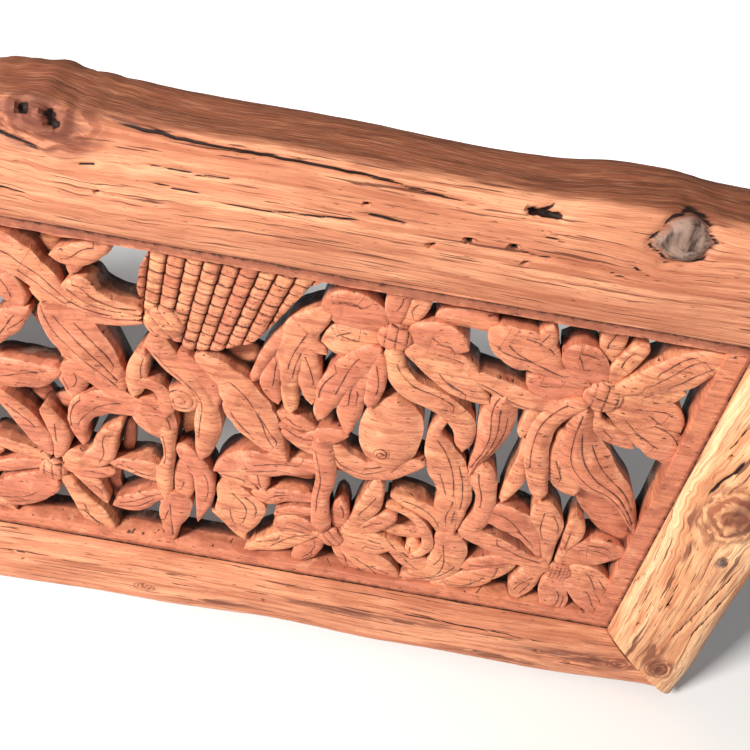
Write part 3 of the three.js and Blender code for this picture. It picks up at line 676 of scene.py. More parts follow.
def rim_bar(along, inner, outer, reach):
    """A bar with its inner edge at one line and its outer edge at another."""
    stations = np.linspace(-reach, reach, int(reach / 1.7))
    rings = []
    for place in stations:
        def point(out, y):
            return (place, y, out) if along == "x" else (out, y, place)

        def face(out):
            x, _, z = point(out, 0)
            uneven = noise.noise(Vector((x / 34, z / 12, 3))) + 0.4 * noise.noise(Vector((x, z, 0)) / 5)
            return FRONT + 0.25 + 0.35 * uneven

        wander = 1.1 * noise.noise(Vector((place / 21, inner, 7))) * (1 if abs(place) < reach else 0)
        edge = inner + wander
        grow = np.sign(outer - inner)
        shares = np.linspace(0.5, abs(outer - edge), max(4, int(abs(outer - inner) / 2.4)))
        ring = [point(edge, face(edge) + 0.8)]
        ring += [point(edge + grow * share, face(edge + grow * share)) for share in shares]
        ring += [point(outer, BACK - 0.3), point(edge + grow * 1.2, BACK - 0.3)]
        ring += [point(edge + grow * 0.6, (FRONT + BACK) / 2)]
        rings.append(ring)
    rings = np.array(rings)
    flat = np.full(rings.shape[:2], 0.0)
    shells.add_rings(rings, np.full(rings.shape, FAR), flat, flat + 0.35)


rim_bar("x", OPENING_Z - RIM["top"], REACH_Z, REACH_X)
rim_bar("x", -OPENING_Z + RIM["bottom"], -REACH_Z, REACH_X)
rim_bar("z", OPENING_X - RIM["end"], REACH_X, REACH_Z)
rim_bar("z", -OPENING_X + RIM["end"], -REACH_X, REACH_Z)
print("with the rim:", shells.count, "points")

# %% [markdown]
# ## One board
# Now the shells become one mesh. Where the wood lies lower than what is around it, its colour is
# darkened as painted shade, and grey dust is laid in the deeper crevices. To find those places,
# the highest wood is noted on a fine grid, blurred, and compared with each point's own depth.


# %% Building the mesh and finding where painted shade and dust go
def blurred(grid, radius):
    """A box blur done twice, by running sums."""
    for _ in range(2):
        for axis in (0, 1):
            margins = [(0, 0), (0, 0)]
            margins[axis] = (radius + 1, radius)
            padded = np.pad(grid, margins, mode="edge")
            sums = np.cumsum(padded, axis=axis)
            width = 2 * radius + 1
            ahead = [slice(None)] * 2
            behind_it = [slice(None)] * 2
            ahead[axis], behind_it[axis] = slice(width, None), slice(None, -width)
            grid = (sums[tuple(ahead)] - sums[tuple(behind_it)]) / width
    return grid


def hollow_share(points):
    """For each point, how far it lies below the wood around it, in millimetres."""
    columns = np.clip((points[:, 0] + REACH_X).astype(int), 0, int(2 * REACH_X))
    lines = np.clip((points[:, 2] + REACH_Z).astype(int), 0, int(2 * REACH_Z))
    depth = np.full((int(2 * REACH_X) + 1, int(2 * REACH_Z) + 1), BACK)
    np.minimum.at(depth, (columns, lines), points[:, 1])
    around = np.pad(depth, 1, mode="edge")
    depth = np.minimum.reduce([
        around[1:-1, 1:-1], around[2:, 1:-1], around[:-2, 1:-1],
        around[1:-1, 2:], around[1:-1, :-2],
    ])
    near, wide = blurred(depth, 3), blurred(depth, 9)
    own = points[:, 1]
    return np.maximum(own - near[columns, lines], 0), np.maximum(own - wide[columns, lines], 0)


def keep_values(mesh, name, values):
    """Stores one number, or three, at each point of a mesh, for the materials to read."""
    kind = "FLOAT_VECTOR" if values.ndim == 2 else "FLOAT"
    attribute = mesh.attributes.new(name, kind, "POINT")
    field = "vector" if values.ndim == 2 else "value"
    attribute.data.foreach_set(field, values.astype(np.float32).ravel())


points = np.concatenate(shells.points)
near, wide = hollow_share(points)
mesh = bpy.data.meshes.new("carved_wood_board")
placed = points * MM + np.array([0, 0, MIDDLE])
mesh.from_pydata(placed.tolist(), [], shells.faces)
keep_values(mesh, "cuts", np.concatenate(shells.cuts))
keep_values(mesh, "shoulder", np.concatenate(shells.shoulder))
keep_values(mesh, "tone", np.concatenate(shells.tone))
# Depth below the nearby and the wider wood: the material turns it into painted shade, and lays grey dust
# in the deeper crevices.
keep_values(mesh, "crevice_shade_and_dust", near)
keep_values(mesh, "hollow_shade", wide)
# Painted shadow of the logs: the rim's front is marked where it runs close to a log, to be painted darker
# there.
across, up = np.abs(points[:, 0]), points[:, 2]
log_shadow = np.maximum.reduce([
    np.clip((up - OPENING_Z + 13) / 13, 0, 1) * (up < OPENING_Z + 3),
    np.clip((across - OPENING_X + 4) / 4, 0, 1), np.clip((-up - OPENING_Z + 5) / 5, 0, 1),
])
keep_values(mesh, "painted_log_shadow", np.where(points[:, 1] < FRONT + 3, log_shadow, 0))
board = bpy.data.objects.new("carved_wood_board", mesh)
bpy.context.collection.objects.link(board)
bpy.ops.object.select_all(action="DESELECT")
bpy.context.view_layer.objects.active = board
board.select_set(True)
bpy.ops.object.mode_set(mode="EDIT")
bpy.ops.mesh.select_all(action="SELECT")
bpy.ops.mesh.normals_make_consistent(inside=False)
bpy.ops.object.mode_set(mode="OBJECT")
bpy.ops.object.shade_smooth_by_angle(angle=math.radians(42))
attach(board, "root")
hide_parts("carved_board")
triangles = sum(len(face.vertices) - 2 for face in mesh.polygons)
print("carved board:", triangles, "triangles")

# %% [markdown]
# ## The frame of split logs
# Each log was split and planed flat on its face, and its round outer side was left. A log starts
# as a flat grid. One direction of the grid runs along the log, the other is rolled round its
# section, and the seam and the two mitred ends are closed. Marks such as knots, cracks and borer
# holes are then pressed in, each at its own place along the log and out from the opening.

# %% The logs' sections and their marks
LIP, GAP = 4.0, 0.3
STILE_WIDTH, TOP_WIDTH, BOTTOM_WIDTH = 84.0, 90.0, 72.0
LOGS = {  # ease is how far out the face goes on rising
    "top_rail": dict(width=TOP_WIDTH, crown=18, corner=15, lean=5, ease=0.62, seed=1.1, cells=360),
    "bottom_rail": dict(width=BOTTOM_WIDTH, crown=15, corner=25, lean=0, ease=0.3, seed=2.7, cells=340),
    "right_stile": dict(width=STILE_WIDTH, crown=18, corner=22, lean=2, ease=0.6, seed=0.6, cells=200),
    "left_stile": dict(width=STILE_WIDTH, crown=18, corner=22, lean=2, ease=0.6, seed=0.6, cells=200),
}
KNOTS = {  # along, out, half length, half width, rise, kind
    "top_rail": [
        (-27, 78, 31, 17, 3.0, "burl"), (344, 72, 17, 13, 0, "dead"), (-330, 50, 22, 13, 2.0, "burl"),
    ],
    "bottom_rail": [
        (16, 36, 10, 6, 1.0, "burl"), (438, 27, 12, 8, 1.5, "burl"), (-250, 30, 14, 8, 1.0, "burl"),
    ],
    "right_stile": [
        (21, 36, 30, 24, 4.0, "burl"), (-29, 47, 5, 4, 0, "dead"), (-176, 48, 14, 11, 3.0, "burl"),
    ],
    "left_stile": [(-60, 40, 26, 18, 3.0, "burl"), (90, 50, 6, 5, 0, "dead")],
}
CRACKS = {  # width, depth, then places along and out
    "top_rail": [
        (1.5, 3, [(-14, 84), (16, 82), (46, 81), (74, 80), (113, 80), (166, 79), (223, 74), (258, 75)]),
        (1.2, 2.5, [(57, 45), (105, 45), (147, 49), (166, 50)]),
        (1.6, 3, [(160, 56), (176, 54), (191, 53)]),
        (1.3, 2, [(-9, 55), (6, 57)]),
        (2.6, 4, [(-60, 66), (-51, 66), (-38, 62), (-24, 58)]),
        (1.8, 3, [(-62, 28), (-53, 27), (-40, 25)]),
        (0.9, 1.5, [(267, 85), (267, 80), (264, 77)]),
        (1.1, 1.5, [(262, 67), (268, 62), (282, 59)]),
        (1.0, 1.5, [(251, 51), (264, 47), (278, 48)]),
        (1.1, 1.5, [(306, 47), (316, 43), (326, 41)]),
        (1.1, 1.5, [(316, 57), (324, 50), (336, 46)]),
        (1.0, 1.5, [(20, 64), (60, 62), (96, 63)]),
        (1.0, 1.5, [(30, 52), (52, 50), (70, 50)]),
        (1.2, 2, [(-300, 60), (-220, 66), (-140, 63)]),
        (1.2, 2, [(-420, 30), (-340, 26), (-270, 28)]),
        (1.0, 1.5, [(380, 30), (430, 26), (470, 27)]),
    ],
    "bottom_rail": [
        (1.6, 2.5, [(-106, 18), (-99, 18), (-84, 19)]),
        (1.0, 1.5, [(20, 24), (70, 27), (110, 27)]),
        (1.0, 1.5, [(210, 12), (300, 15), (400, 16)]),
        (1.0, 1.5, [(260, 44), (330, 47), (380, 46)]),
        (1.0, 1.5, [(-300, 20), (-240, 24), (-180, 22)]),
    ],
    "right_stile": [
        (1.8, 3, [(27, 14), (44, 17), (59, 23), (78, 26)]),
        (1.0, 2, [(-107, 29), (-84, 28), (-60, 27)]),
        (1.1, 2, [(-150, 42), (-110, 50), (-60, 58), (-20, 64)]),
        (1.0, 1.5, [(-140, 56), (-90, 64), (-40, 70)]),
        (1.0, 1.5, [(60, 10), (100, 16), (140, 18)]),
        (1.0, 1.5, [(80, 44), (120, 40), (160, 44)]),
    ],
    "left_stile": [
        (1.2, 2, [(-150, 30), (-90, 26), (-30, 30)]),
        (1.2, 2, [(40, 60), (90, 56), (150, 58)]),
    ],
}
HOLES = {  # along, out, radius
    "top_rail": [
        (3, 38, 2.0), (204, 42, 2.2), (225, 50, 2.4), (251, 51, 2.4), (260, 41, 2.0), (162, 62, 1.8),
        (-37, 80, 3.2), (-22, 80, 3.0), (-19, 76, 3.4), (258, 76, 4.0), (264, 76, 4.6), (271, 75, 3.6),
    ],
    "bottom_rail": [
        (-99, 18, 2.2), (-89, 26, 2.0), (16, 34, 2.8), (20, 36, 2.2), (2, 58, 1.6), (123, 29, 2.2),
        (366, 28, 1.6), (395, 36, 2.4),
    ],
    "right_stile": [(71, 16, 1.8), (-130, 17, 1.5), (-80, 64, 1.5), (-95, 29, 1.5), (21, 60, 3.4)],
    "left_stile": [(-60, 44, 3.0), (20, 20, 1.8)],
}
STAINS = {  # along, out, half length, half width
    "top_rail": [(-27, 74, 44, 22), (-150, 70, 60, 12)],
    "bottom_rail": [
        (185, 22, 70, 6), (258, 22, 40, 7), (70, 42, 60, 6), (400, 30, 70, 16), (330, 50, 60, 8),
    ],
    "right_stile": [
        (-28, 21, 20, 5), (-160, 38, 32, 12), (25, 50, 30, 26), (-176, 48, 18, 14), (4, 12, 24, 6),
    ],
    "left_stile": [(-60, 40, 34, 20), (110, 20, 40, 8)],
}


def section_line(size):
    """The section as evenly placed points: distance out, y, and how much each may be marked."""
    width, crown, corner, lean = size["width"], size["crown"], size["corner"], size["lean"]
    face, reach = FRONT - crown, size["ease"] * size["width"]
    rising = [(out, FRONT - LIP - (crown - LIP) * (1 - (1 - out / reach) ** 2))
              for out in np.linspace(0, reach, 14)]
    middle = (width - lean - corner, face)
    arc = [(width - lean - corner + corner * math.cos(a), face + corner - corner * math.sin(a))
           for a in np.radians([75, 60, 45, 30, 15, 0])]
    visible = [(0, FRONT - GAP), *rising, middle, *arc, (width, -18), (width - 1.5, -6), (width - 5, 0)]
    hidden = [(width * 0.6, 0), (width * 0.3, 0), (8.3, 0), (8.3, -12), (8.3, -26), (8.3, FRONT - GAP)]
    visible = np.array(visible)
    spans = np.concatenate([[0], np.cumsum(np.hypot(*np.diff(visible, axis=0).T))])
    even = np.linspace(0, spans[-1], int(spans[-1] / 1.25))
    line = np.stack([np.interp(even, spans, visible[:, axis]) for axis in (0, 1)], axis=-1)
    for _ in range(14):
        line[3:-3] = (line[2:-4] + line[3:-3] * 2 + line[4:-2]) / 4
    marked = np.minimum(1, np.minimum(even / 3, (spans[-1] - even) / 4))
    line = np.concatenate([line, hidden])
    return line, np.concatenate([marked, np.zeros(len(hidden))])


def swell(place, seed):
    return (
        0.5 * np.sin(place / 61 + seed) + 0.3 * np.sin(place / 27 + 2.3 * seed)
        + 0.2 * np.sin(place / 143 - seed)
    )


def place_on_log(name, share, out):
    """Where a share along a log and a distance out from the opening lie: x, z and along."""
    if name.endswith("rail"):
        reach = OPENING_X + out / LOGS[name]["width"] * STILE_WIDTH - 2 * GAP
        x = (2 * share - 1) * reach
        up = 1 if name == "top_rail" else -1
        return x, up * (OPENING_Z + out), x
    side = 1 if name == "right_stile" else -1
    low = -OPENING_Z - out / STILE_WIDTH * BOTTOM_WIDTH + GAP
    high = OPENING_Z + out / STILE_WIDTH * TOP_WIDTH - GAP
    z = low + (high - low) * share
    return side * (OPENING_X + out), z, z


def distance_to_path(along, out, path):
    """Distance to a line through several places, and the share of the way along it."""
    best, share = np.full(along.shape, 1e9), np.zeros(along.shape)
    total = len(path) - 1
    for k, ((a0, o0), (a1, o1)) in enumerate(zip(path, path[1:])):
        da, do = a1 - a0, o1 - o0
        t = np.clip(((along - a0) * da + (out - o0) * do) / (da * da + do * do), 0, 1)
        distance = np.hypot(along - a0 - t * da, out - o0 - t * do)
        nearer = distance < best
        best, share = np.where(nearer, distance, best), np.where(nearer, (k + t) / total, share)
    return best, share


def noise_field(*axes):
    """Smooth noise, point by point."""
    flat = [axis.ravel() for axis in np.broadcast_arrays(*axes)]
    values = np.array([noise.noise((a, b, c)) for a, b, c in zip(*flat)])
    return values.reshape(np.broadcast(*axes).shape)


def roll_log(name):
    """A log as a mesh with its marks, and what the wood's material needs at each point."""
    size = LOGS[name]
    line, marked = section_line(size)
    cells, around = size["cells"], len(line)
    bpy.ops.object.select_all(action="DESELECT")
    bpy.ops.mesh.primitive_grid_add(x_subdivisions=cells, y_subdivisions=around, size=2)
    log = bpy.context.object
    log.name = name + "_wood"
    mesh = log.data
    points = np.empty(len(mesh.vertices) * 3)
    mesh.vertices.foreach_get("co", points)
    points = points.reshape(-1, 3)
    i = np.rint((points[:, 0] + 1) / 2 * cells).astype(int)
    k = np.rint((points[:, 1] + 1) / 2 * around).astype(int) % around
    out, y, mark = line[k, 0], line[k, 1], marked[k]
    arc = np.concatenate([[0], np.cumsum(np.hypot(*np.diff(line, axis=0).T))])[k]
    share = i / cells
    inside = (i > 0) & (i < cells)
    _, _, along = place_on_log(name, share, out)

    ahead, back = line[(k + 1) % around], line[(k - 1) % around]
    inward = np.stack([-(ahead - back)[:, 1], (ahead - back)[:, 0]], axis=-1)
    inward /= np.maximum(np.hypot(*inward.T), 1e-6)[:, None]

    other = 200 if name == "right_stile" else (-200 if name == "left_stile" else 0)
    wander = np.where(inside, swell(along + other, size["seed"]), 0)
    out = out + 3.2 * (out / size["width"]) ** 2 * wander
    y = y - np.where(y < FRONT - LIP, 1.6 * wander, 0)
    if name == "top_rail":
        rim = np.clip((line[k, 0] - 62) / 25, 0, 1)
        out = out + rim * 3.0 * np.exp(-(((along - 318) / 34) ** 4))
        out = out + rim * 2.5 * np.exp(-(((along + 45) / 26) ** 4))

    depth = 0.9 * noise_field(along / 110, arc / 17, size["seed"] + 0 * arc)
    depth += 0.35 * noise_field(along / 40, arc / 3.2, size["seed"] + 5 + 0 * arc)
    depth += 0.22 * noise_field(along / 14, arc / 1.7, size["seed"] + 9 + 0 * arc)
    flow = arc + 5 * noise_field(along / 130, arc / 60, size["seed"] + 2 + 0 * arc)
    groove_and_pit_shade, knot, grey = np.zeros(len(i)), np.zeros(len(i)), np.zeros(len(i))
    ring, stain = np.full(len(i), 3.0), np.zeros(len(i))

    base_out = line[k, 0]
    for u, v, long, wide, rise, kind in KNOTS[name]:
        du, dv = (along - u) / long, (base_out - v) / wide
        wobble = 0.22 * noise_field(along / 11, base_out / 8, u + 0 * arc)
        reach = np.hypot(du, dv) * (1 + wobble)
        flow = flow + np.clip(dv, -4, 4) * wide * -0.85 / (1 + reach**2.4)
        ring = np.minimum(ring, reach)
        knot = np.maximum(knot, np.clip((1.25 - reach) * 2.2, 0, 1))
        lumps = 0.8 + 0.5 * noise_field(along / 8, base_out / 6, u + 1 + 0 * arc)
        depth -= rise * np.exp(-(reach**2) * 0.8) * lumps
        if kind == "burl":
            depth += 0.7 * np.exp(-(reach**2)) * np.sin(reach * 11 + 3 * wobble)
        else:
            grey = np.maximum(grey, np.clip((1.0 - reach) * 8, 0, 1))
            ditch = 2.6 * np.exp(-(((reach - 1.0) / 0.16) ** 2))
            depth += ditch - 2.2 * np.clip(1 - reach, 0, 1) ** 0.5
            cavity = 3.5 * np.exp(-(((du - 0.55) / 0.5) ** 2) - ((dv - 0.2) / 0.55) ** 2)
            depth += cavity * (reach < 1.1)
            # The ditch round a dead knot is marked to be painted near black: painted shade in the ditch.
            groove_and_pit_shade = np.maximum(groove_and_pit_shade, 0.8 * np.exp(-(((reach - 1.03) / 0.1) ** 2)))
    for width, deep, path in CRACKS[name]:
        shaken = base_out + 0.8 * noise_field(along / 9, 0 * arc, deep + 0 * arc)
        distance, part = distance_to_path(along, shaken, path)
        taper = np.clip(np.sin(np.pi * np.clip(part, 0.02, 0.98)) * 1.6, 0, 1)
        depth += deep * taper * np.exp(-((distance / width) ** 2))
        # The crack's groove is marked to be painted near black: painted shade in the crack.
        groove_and_pit_shade = np.maximum(groove_and_pit_shade, taper * np.exp(-((distance / (width * 0.75)) ** 2)))
    for u, v, radius in HOLES[name]:
        reach = np.hypot((along - u) / 1.35, base_out - v) / (radius * 0.8)
        press = np.clip((1.15 - reach) * 2.5, 0, 1)
        depth += 5 * press
        # The borer hole's pit is marked to be painted near black: painted shade in the hole.
        groove_and_pit_shade = np.maximum(groove_and_pit_shade, press)
    for u, v, long, wide in STAINS[name]:
        reach = np.hypot((along - u) / long, (base_out - v) / wide)
        stain = np.maximum(stain, np.clip(1.2 - reach, 0, 1))
    shift = np.where(inside, depth * mark, 0)
    groove_and_pit_shade, knot, grey, stain = groove_and_pit_shade * mark, knot * mark, grey * mark, stain * mark
    out, y = out + inward[:, 0] * shift, y + inward[:, 1] * shift

    x, z, _ = place_on_log(name, share, out)
    placed = np.stack([x, y, z], axis=-1) * MM + np.array([0, 0, MIDDLE])
    mesh.vertices.foreach_set("co", placed.astype(np.float32).ravel())
    keep_values(mesh, "flow", np.stack([along, flow, size["seed"] * 40 + 0 * arc], axis=-1) * MM)
    bark = np.clip((base_out - (size["width"] - size["corner"] * 0.75)) / (size["corner"] * 0.5), 0, 1)
    for key, values in dict(groove_and_pit_shade=groove_and_pit_shade, knot=knot, ring=ring, grey=grey, stain=stain, bark=bark,
                            out=base_out * MM).items():
        keep_values(mesh, key, values)
    bpy.ops.object.mode_set(mode="EDIT")
    bpy.ops.mesh.select_all(action="SELECT")
    bpy.ops.mesh.remove_doubles(threshold=0.00002)
    bpy.ops.mesh.select_all(action="DESELECT")
    bpy.ops.mesh.select_non_manifold()
    bpy.ops.mesh.edge_face_add()
    bpy.ops.mesh.select_all(action="SELECT")
    bpy.ops.mesh.normals_make_consistent(inside=False)
    bpy.ops.object.mode_set(mode="OBJECT")
    bpy.ops.object.shade_smooth_by_angle(angle=math.radians(50))
    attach(log, "root")
    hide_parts(name)
    print(name, len(mesh.vertices), "points", len(mesh.polygons), "faces")
    return log


logs = {name: roll_log(name) for name in LOGS}

# %% [markdown]
# ## The wood
# Both woods are built from the same few layers: broad bands of colour, fine fibres, hairline
# checks, and darker wood where something has stained it. Each layer is noise that is stretched
# along the grain. The logs' grain follows a coordinate kept at each point, so that it bends
# round the knots. A small helper keeps the node trees short.


# %% A helper for node trees
class Tree:
    """A material's nodes, made one call at a time."""

    def __init__(self, name):
        self.material = bpy.data.materials.new(name)
        self.material.use_nodes = True
        self.nodes = self.material.node_tree.nodes
        self.shader = self.nodes["Principled BSDF"]

    def link(self, source, socket):
        self.material.node_tree.links.new(source, socket)

    def put(self, value, socket):
        if isinstance(value, bpy.types.NodeSocket):
            self.link(value, socket)
        else:
            socket.default_value = value

    def attribute(self, name):
        node = self.nodes.new("ShaderNodeAttribute")
        node.attribute_name = name
        return node

    def value(self, name):
        return self.attribute(name).outputs["Fac"]

    def place(self, source, scale, shift=(0, 0, 0)):
        node = self.nodes.new("ShaderNodeMapping")
        self.link(source, node.inputs["Vector"])
        node.inputs["Scale"].default_value = scale
        node.inputs["Location"].default_value = shift
        return node.outputs[0]

    def noise(self, source, scale, detail=4.0, rough=0.55, twist=0.0, shift=(0, 0, 0)):
        node = self.nodes.new("ShaderNodeTexNoise")
        self.link(self.place(source, scale, shift), node.inputs["Vector"])
        node.inputs["Scale"].default_value = 1.0
        node.inputs["Detail"].default_value = detail
        node.inputs["Roughness"].default_value = rough
        node.inputs["Distortion"].default_value = twist
        return node.outputs["Fac"]

    def ramp(self, source, low, high, start=0.0, end=1.0):
        node = self.nodes.new("ShaderNodeMapRange")
        node.interpolation_type = "SMOOTHSTEP"
        self.link(source, node.inputs["Value"])
        for key, number in (("From Min", low), ("From Max", high), ("To Min", start), ("To Max", end)):
            node.inputs[key].default_value = number
        return node.outputs[0]

    def math(self, operation, first, second=0.0):
        node = self.nodes.new("ShaderNodeMath")
        node.operation = operation
        self.put(first, node.inputs[0])
        self.put(second, node.inputs[1])
        return node.outputs[0]

    def shaken(self, value, field, amount):
        """A value made uneven by a noise field."""
        return self.math("ADD", value, self.math("MULTIPLY", self.math("SUBTRACT", field, 0.5), amount))

    def mix(self, share, first, second):
        node = self.nodes.new("ShaderNodeMix")
        node.data_type = "RGBA"
        self.put(share, node.inputs["Factor"])
        for value, socket in ((first, node.inputs[6]), (second, node.inputs[7])):
            self.put((*value, 1) if isinstance(value, tuple) else value, socket)
        return node.outputs[2]

    def bump(self, height, strength, distance):
        node = self.nodes.new("ShaderNodeBump")
        node.inputs["Strength"].default_value = strength
        node.inputs["Distance"].default_value = distance
        self.link(height, node.inputs["Height"])
        self.link(node.outputs[0], self.shader.inputs["Normal"])

    def finish(self, colour, rough):
        self.link(colour, self.shader.inputs["Base Color"])
        self.link(rough, self.shader.inputs["Roughness"])
        self.shader.inputs["Specular IOR Level"].default_value = 0.28
        return self.material


def tone(red, green, blue):
    """A colour given as 0 to 255, as the shader needs it."""
    shares = [part / 255 for part in (red, green, blue)]
    return tuple(((share + 0.055) / 1.055) ** 2.4 for share in shares)


# %% [markdown]
# The logs are sun-bleached and oiled: pale honey wood with red-brown streaks, black-brown
# checks along the grain, a darker skin on the round side, and swirls about the knots. Cracks,
# borer holes and the ditches round dead knots are painted near black as painted shade.


# %% The logs' wood
def log_wood(name, light, middle, streak, skin, skin_share, patchy):
    tree = Tree(name)
    flow = tree.attribute("flow").outputs["Vector"]
    broad = tree.noise(flow, (5, 95, 20), 3, 0.6, 0.3)
    bands = tree.noise(flow, (9, 260, 20), 4, 0.65, 0.4, (3, 1, 0))
    fibres = tree.noise(flow, (45, 1500, 20), 3, 0.7, 0.0, (0, 7, 0))
    patches = tree.noise(flow, (11, 30, 20), 3, 0.55, 0.6, (1, 2, 5))
    hairs = tree.noise(flow, (16, 520, 20), 2, 0.5, 0.5, (5, 3, 1))
    specks = tree.noise(flow, (120, 800, 20), 2, 0.5, 0.0, (2, 9, 4))

    colour = tree.mix(tree.ramp(broad, 0.38, 0.62), middle, light)
    colour = tree.mix(tree.ramp(patches, 0.42, 0.68, 0.0, patchy), colour, streak)
    colour = tree.mix(tree.ramp(bands, 0.47, 0.64, 0.0, 0.75), colour, streak)
    colour = tree.mix(tree.ramp(fibres, 0.32, 0.66, 0.6, 0.0), colour, streak)
    dark_wood = tone(86, 44, 30)
    checks = tree.ramp(hairs, 0.62, 0.67)
    colour = tree.mix(tree.math("MULTIPLY", checks, 0.85), colour, dark_wood)
    colour = tree.mix(tree.ramp(specks, 0.66, 0.72, 0, 0.7), colour, dark_wood)

    ring = tree.value("ring")
    swirl = tree.noise(flow, (60, 160, 20), 4, 0.6, 1.5)
    turns = tree.math("ADD", tree.math("MULTIPLY", ring, 17), tree.math("MULTIPLY", swirl, 9))
    turns = tree.math("SINE", turns)
    about_knot = tree.mix(tree.ramp(turns, -0.7, 0.8), middle, tone(132, 72, 50))
    about_knot = tree.mix(tree.ramp(swirl, 0.42, 0.62, 0.0, 0.75), about_knot, tone(112, 58, 42))
    colour = tree.mix(tree.math("MULTIPLY", tree.value("knot"), 0.8), colour, about_knot)
    weathered = tree.mix(tree.ramp(swirl, 0.35, 0.62), tone(58, 42, 36), tone(150, 122, 108))
    colour = tree.mix(tree.value("grey"), colour, weathered)

    uneven = tree.ramp(tree.noise(flow, (22, 120, 20), 4, 0.65, 0.8), 0.3, 0.6)
    smudge = tree.math("MULTIPLY", tree.value("stain"), uneven)
    colour = tree.mix(tree.ramp(smudge, 0.1, 0.75, 0.0, 0.75), colour, tone(98, 50, 38))
    bark = tree.shaken(tree.value("bark"), patches, 0.9)
    skin_colour = tree.mix(tree.ramp(bands, 0.4, 0.62), skin, tuple(c * 0.55 for c in skin))
    skin_colour = tree.mix(tree.ramp(fibres, 0.45, 0.75, 0.0, 0.4), skin_colour, light)
    colour = tree.mix(tree.ramp(bark, 0.35, 0.85, 0.0, skin_share), colour, skin_colour)
    # Cracks, borer holes and the ditches round dead knots are painted near black: painted shade in these
    # grooves and pits.
    ragged = tree.math("MULTIPLY", tree.math("SUBTRACT", hairs, 0.5), 1.6)
    groove_and_pit_shade_mask = tree.math("ADD", tree.value("groove_and_pit_shade"), tree.math("MULTIPLY", ragged, tree.value("groove_and_pit_shade")))
    colour = tree.mix(tree.ramp(groove_and_pit_shade_mask, 0.42, 0.72), colour, tone(34, 17, 13))

    rough = tree.ramp(broad, 0.3, 0.7, 0.78, 0.62)
    height = tree.math("ADD", tree.math("MULTIPLY", fibres, 0.35), tree.math("MULTIPLY", bands, 0.5))
    height = tree.math("SUBTRACT", height, tree.math("MULTIPLY", checks, 0.9))
    swirls = tree.math("MULTIPLY", swirl, tree.value("knot"))
    height = tree.math("ADD", height, tree.math("MULTIPLY", swirls, 0.8))
    tree.bump(height, 0.55, 0.0011)
    return tree.finish(colour, rough)


rail_wood = log_wood(
    "rail wood", light=tone(233, 166, 126), middle=tone(208, 138, 104), streak=tone(160, 92, 64),
    skin=tone(122, 66, 44), skin_share=0.95, patchy=0.5,
)
stile_wood = log_wood(
    "stile wood", light=tone(250, 208, 160), middle=tone(226, 166, 120), streak=tone(172, 104, 70),
    skin=tone(150, 88, 60), skin_share=0.6, patchy=0.45,
)
for name, log in logs.items():
    log.data.materials.append(rail_wood if name.endswith("rail") else stile_wood)

# %% [markdown]
# The board is a redder wood. Its grain runs level across every leaf, which shows that the whole
# carving is one plank. Knife cuts are painted near black as painted shade, the shoulders are
# rubbed paler, the walls and hollows are darkened with painted shade, grey dust lies in the deeper
# crevices, and the rim next to the logs is painted darker as the logs' painted shadow.

# %% The carved board's wood
tree = Tree("carved wood")
texture = tree.nodes.new("ShaderNodeTexCoord")
where = texture.outputs["Object"]
broad = tree.noise(where, (9, 40, 34), 3, 0.6, 0.4)
bands = tree.noise(where, (18, 60, 300), 3, 0.6, 0.3, (4, 2, 1))
fibres = tree.noise(where, (60, 60, 1300), 3, 0.7, 0.0, (0, 4, 8))
nicks = tree.noise(where, (170, 120, 640), 2, 0.5, 0.6, (7, 1, 3))
patchy_noise = tree.noise(where, (150, 150, 150), 4, 0.65, 0.3)

leaf_tone = tree.value("tone")
colour = tree.mix(tree.ramp(leaf_tone, 0.1, 0.9), tone(206, 126, 94), tone(236, 164, 118))
colour = tree.mix(tree.ramp(broad, 0.35, 0.65, 0.0, 0.7), colour, tone(206, 128, 100))
colour = tree.mix(tree.ramp(bands, 0.46, 0.66, 0.0, 0.65), colour, tone(158, 86, 62))
blotches = tree.noise(where, (48, 48, 60), 4, 0.65, 0.6, (3, 3, 1))
colour = tree.mix(tree.ramp(blotches, 0.48, 0.68, 0.0, 0.6), colour, tone(146, 80, 58))
colour = tree.mix(tree.ramp(blotches, 0.44, 0.3, 0.0, 0.5), colour, tone(242, 180, 138))
colour = tree.mix(tree.ramp(fibres, 0.32, 0.68, 0.5, 0.0), colour, tone(146, 76, 56))
shoulder = tree.math("MULTIPLY", tree.value("shoulder"), tree.ramp(patchy_noise, 0.42, 0.6))
colour = tree.mix(tree.math("MULTIPLY", shoulder, 0.45), colour, tone(240, 186, 150))
small_cuts = tree.ramp(nicks, 0.665, 0.70)
colour = tree.mix(tree.math("MULTIPLY", small_cuts, 0.85), colour, tone(60, 28, 22))

separate = tree.nodes.new("ShaderNodeSeparateXYZ")
tree.link(tree.attribute("cuts").outputs["Vector"], separate.inputs[0])
nearest = [tree.math("ABSOLUTE", separate.outputs[axis]) for axis in "XYZ"]
nearest = tree.math("MINIMUM", tree.math("MINIMUM", nearest[0], nearest[1]), nearest[2])
nearest = tree.shaken(nearest, patchy_noise, 1.7)
# Painted shade in the knife cuts: each cut is painted near black, and the wood just beside it darker
# brown.
cut_line_shade = tree.ramp(nearest, 0.12, 0.48, 1.0, 0.0)
beside_cut_shade = tree.ramp(nearest, 0.3, 1.8, 0.3, 0.0)
colour = tree.mix(beside_cut_shade, colour, tone(140, 74, 54))
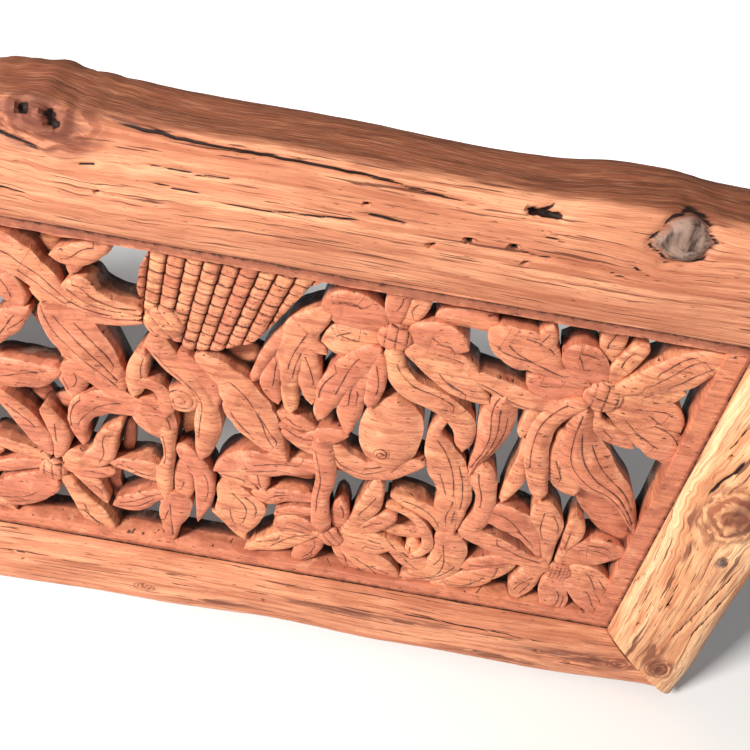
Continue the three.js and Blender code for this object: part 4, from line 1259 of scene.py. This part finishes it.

# Painted shade: wood lying below its neighbours is darkened in steps towards near black in the crevices
# and deep hollows, and grey dust is laid in the deeper crevices.
crevice_shade_and_dust = tree.shaken(tree.value("crevice_shade_and_dust"), patchy_noise, 3.2)
hollow_shade = tree.shaken(tree.value("hollow_shade"), patchy_noise, 3.0)
colour = tree.mix(tree.ramp(crevice_shade_and_dust, 0.3, 2.6, 0.0, 0.8), colour, tone(96, 50, 37))
colour = tree.mix(tree.ramp(hollow_shade, 1.5, 5.5, 0.0, 0.94), colour, tone(50, 29, 23))
drifts = tree.ramp(tree.noise(where, (60, 60, 60), 4, 0.7), 0.5, 0.62)
dust = tree.math("MULTIPLY", tree.ramp(crevice_shade_and_dust, 1.5, 5.0), drifts)
colour = tree.mix(tree.math("MULTIPLY", dust, 0.5), colour, tone(122, 106, 94))
colour = tree.mix(tree.ramp(hollow_shade, 7.0, 13.0, 0.0, 0.85), colour, tone(24, 16, 13))
# The knife cuts painted near black over everything else: painted shade in the cuts.
colour = tree.mix(tree.math("MULTIPLY", cut_line_shade, 0.86), colour, tone(48, 24, 19))
# The logs' painted shadow on the rim: darker brown near the logs, near black right beside them.
shade = tree.shaken(tree.value("painted_log_shadow"), patchy_noise, 0.9)
colour = tree.mix(tree.ramp(shade, 0.1, 0.55, 0.0, 0.62), colour, tone(112, 62, 46))
colour = tree.mix(tree.ramp(shade, 0.62, 0.95, 0.0, 0.9), colour, tone(34, 18, 14))

facing = tree.nodes.new("ShaderNodeSeparateXYZ")
tree.link(texture.outputs["Normal"], facing.inputs[0])
plain_back = tree.mix(tree.ramp(bands, 0.4, 0.62), tone(172, 108, 78), tone(128, 74, 52))
plain_back = tree.mix(tree.ramp(blotches, 0.45, 0.65, 0.0, 0.6), plain_back, tone(104, 60, 44))
plain_back = tree.mix(tree.ramp(fibres, 0.35, 0.65, 0.5, 0.0), plain_back, tone(92, 52, 38))
colour = tree.mix(tree.ramp(facing.outputs["Y"], 0.6, 0.9), colour, plain_back)

height = tree.math("ADD", tree.math("MULTIPLY", fibres, 0.3), tree.math("MULTIPLY", bands, 0.35))
height = tree.math("SUBTRACT", height, tree.math("MULTIPLY", small_cuts, 0.6))
height = tree.math("SUBTRACT", height, tree.math("MULTIPLY", cut_line_shade, 1.1))
tree.bump(height, 0.6, 0.001)
board.data.materials.append(tree.finish(colour, tree.ramp(patchy_noise, 0.3, 0.7, 0.5, 0.72)))

# %% [markdown]
# The floor is pale and nearly even, so that the wood is the only thing with a strong
# colour. One soft noise changes its colour and its roughness a little.

# %% The floor's finish
tree = Tree("pale floor")
texture = tree.nodes.new("ShaderNodeTexCoord")
soft = tree.noise(texture.outputs["Object"], (3, 3, 3), 3, 0.5)
tree.finish(tree.mix(soft, (0.86, 0.86, 0.86), (0.9, 0.9, 0.9)), tree.ramp(soft, 0.3, 0.7, 0.75, 0.85))
floor.data.materials.append(tree.material)
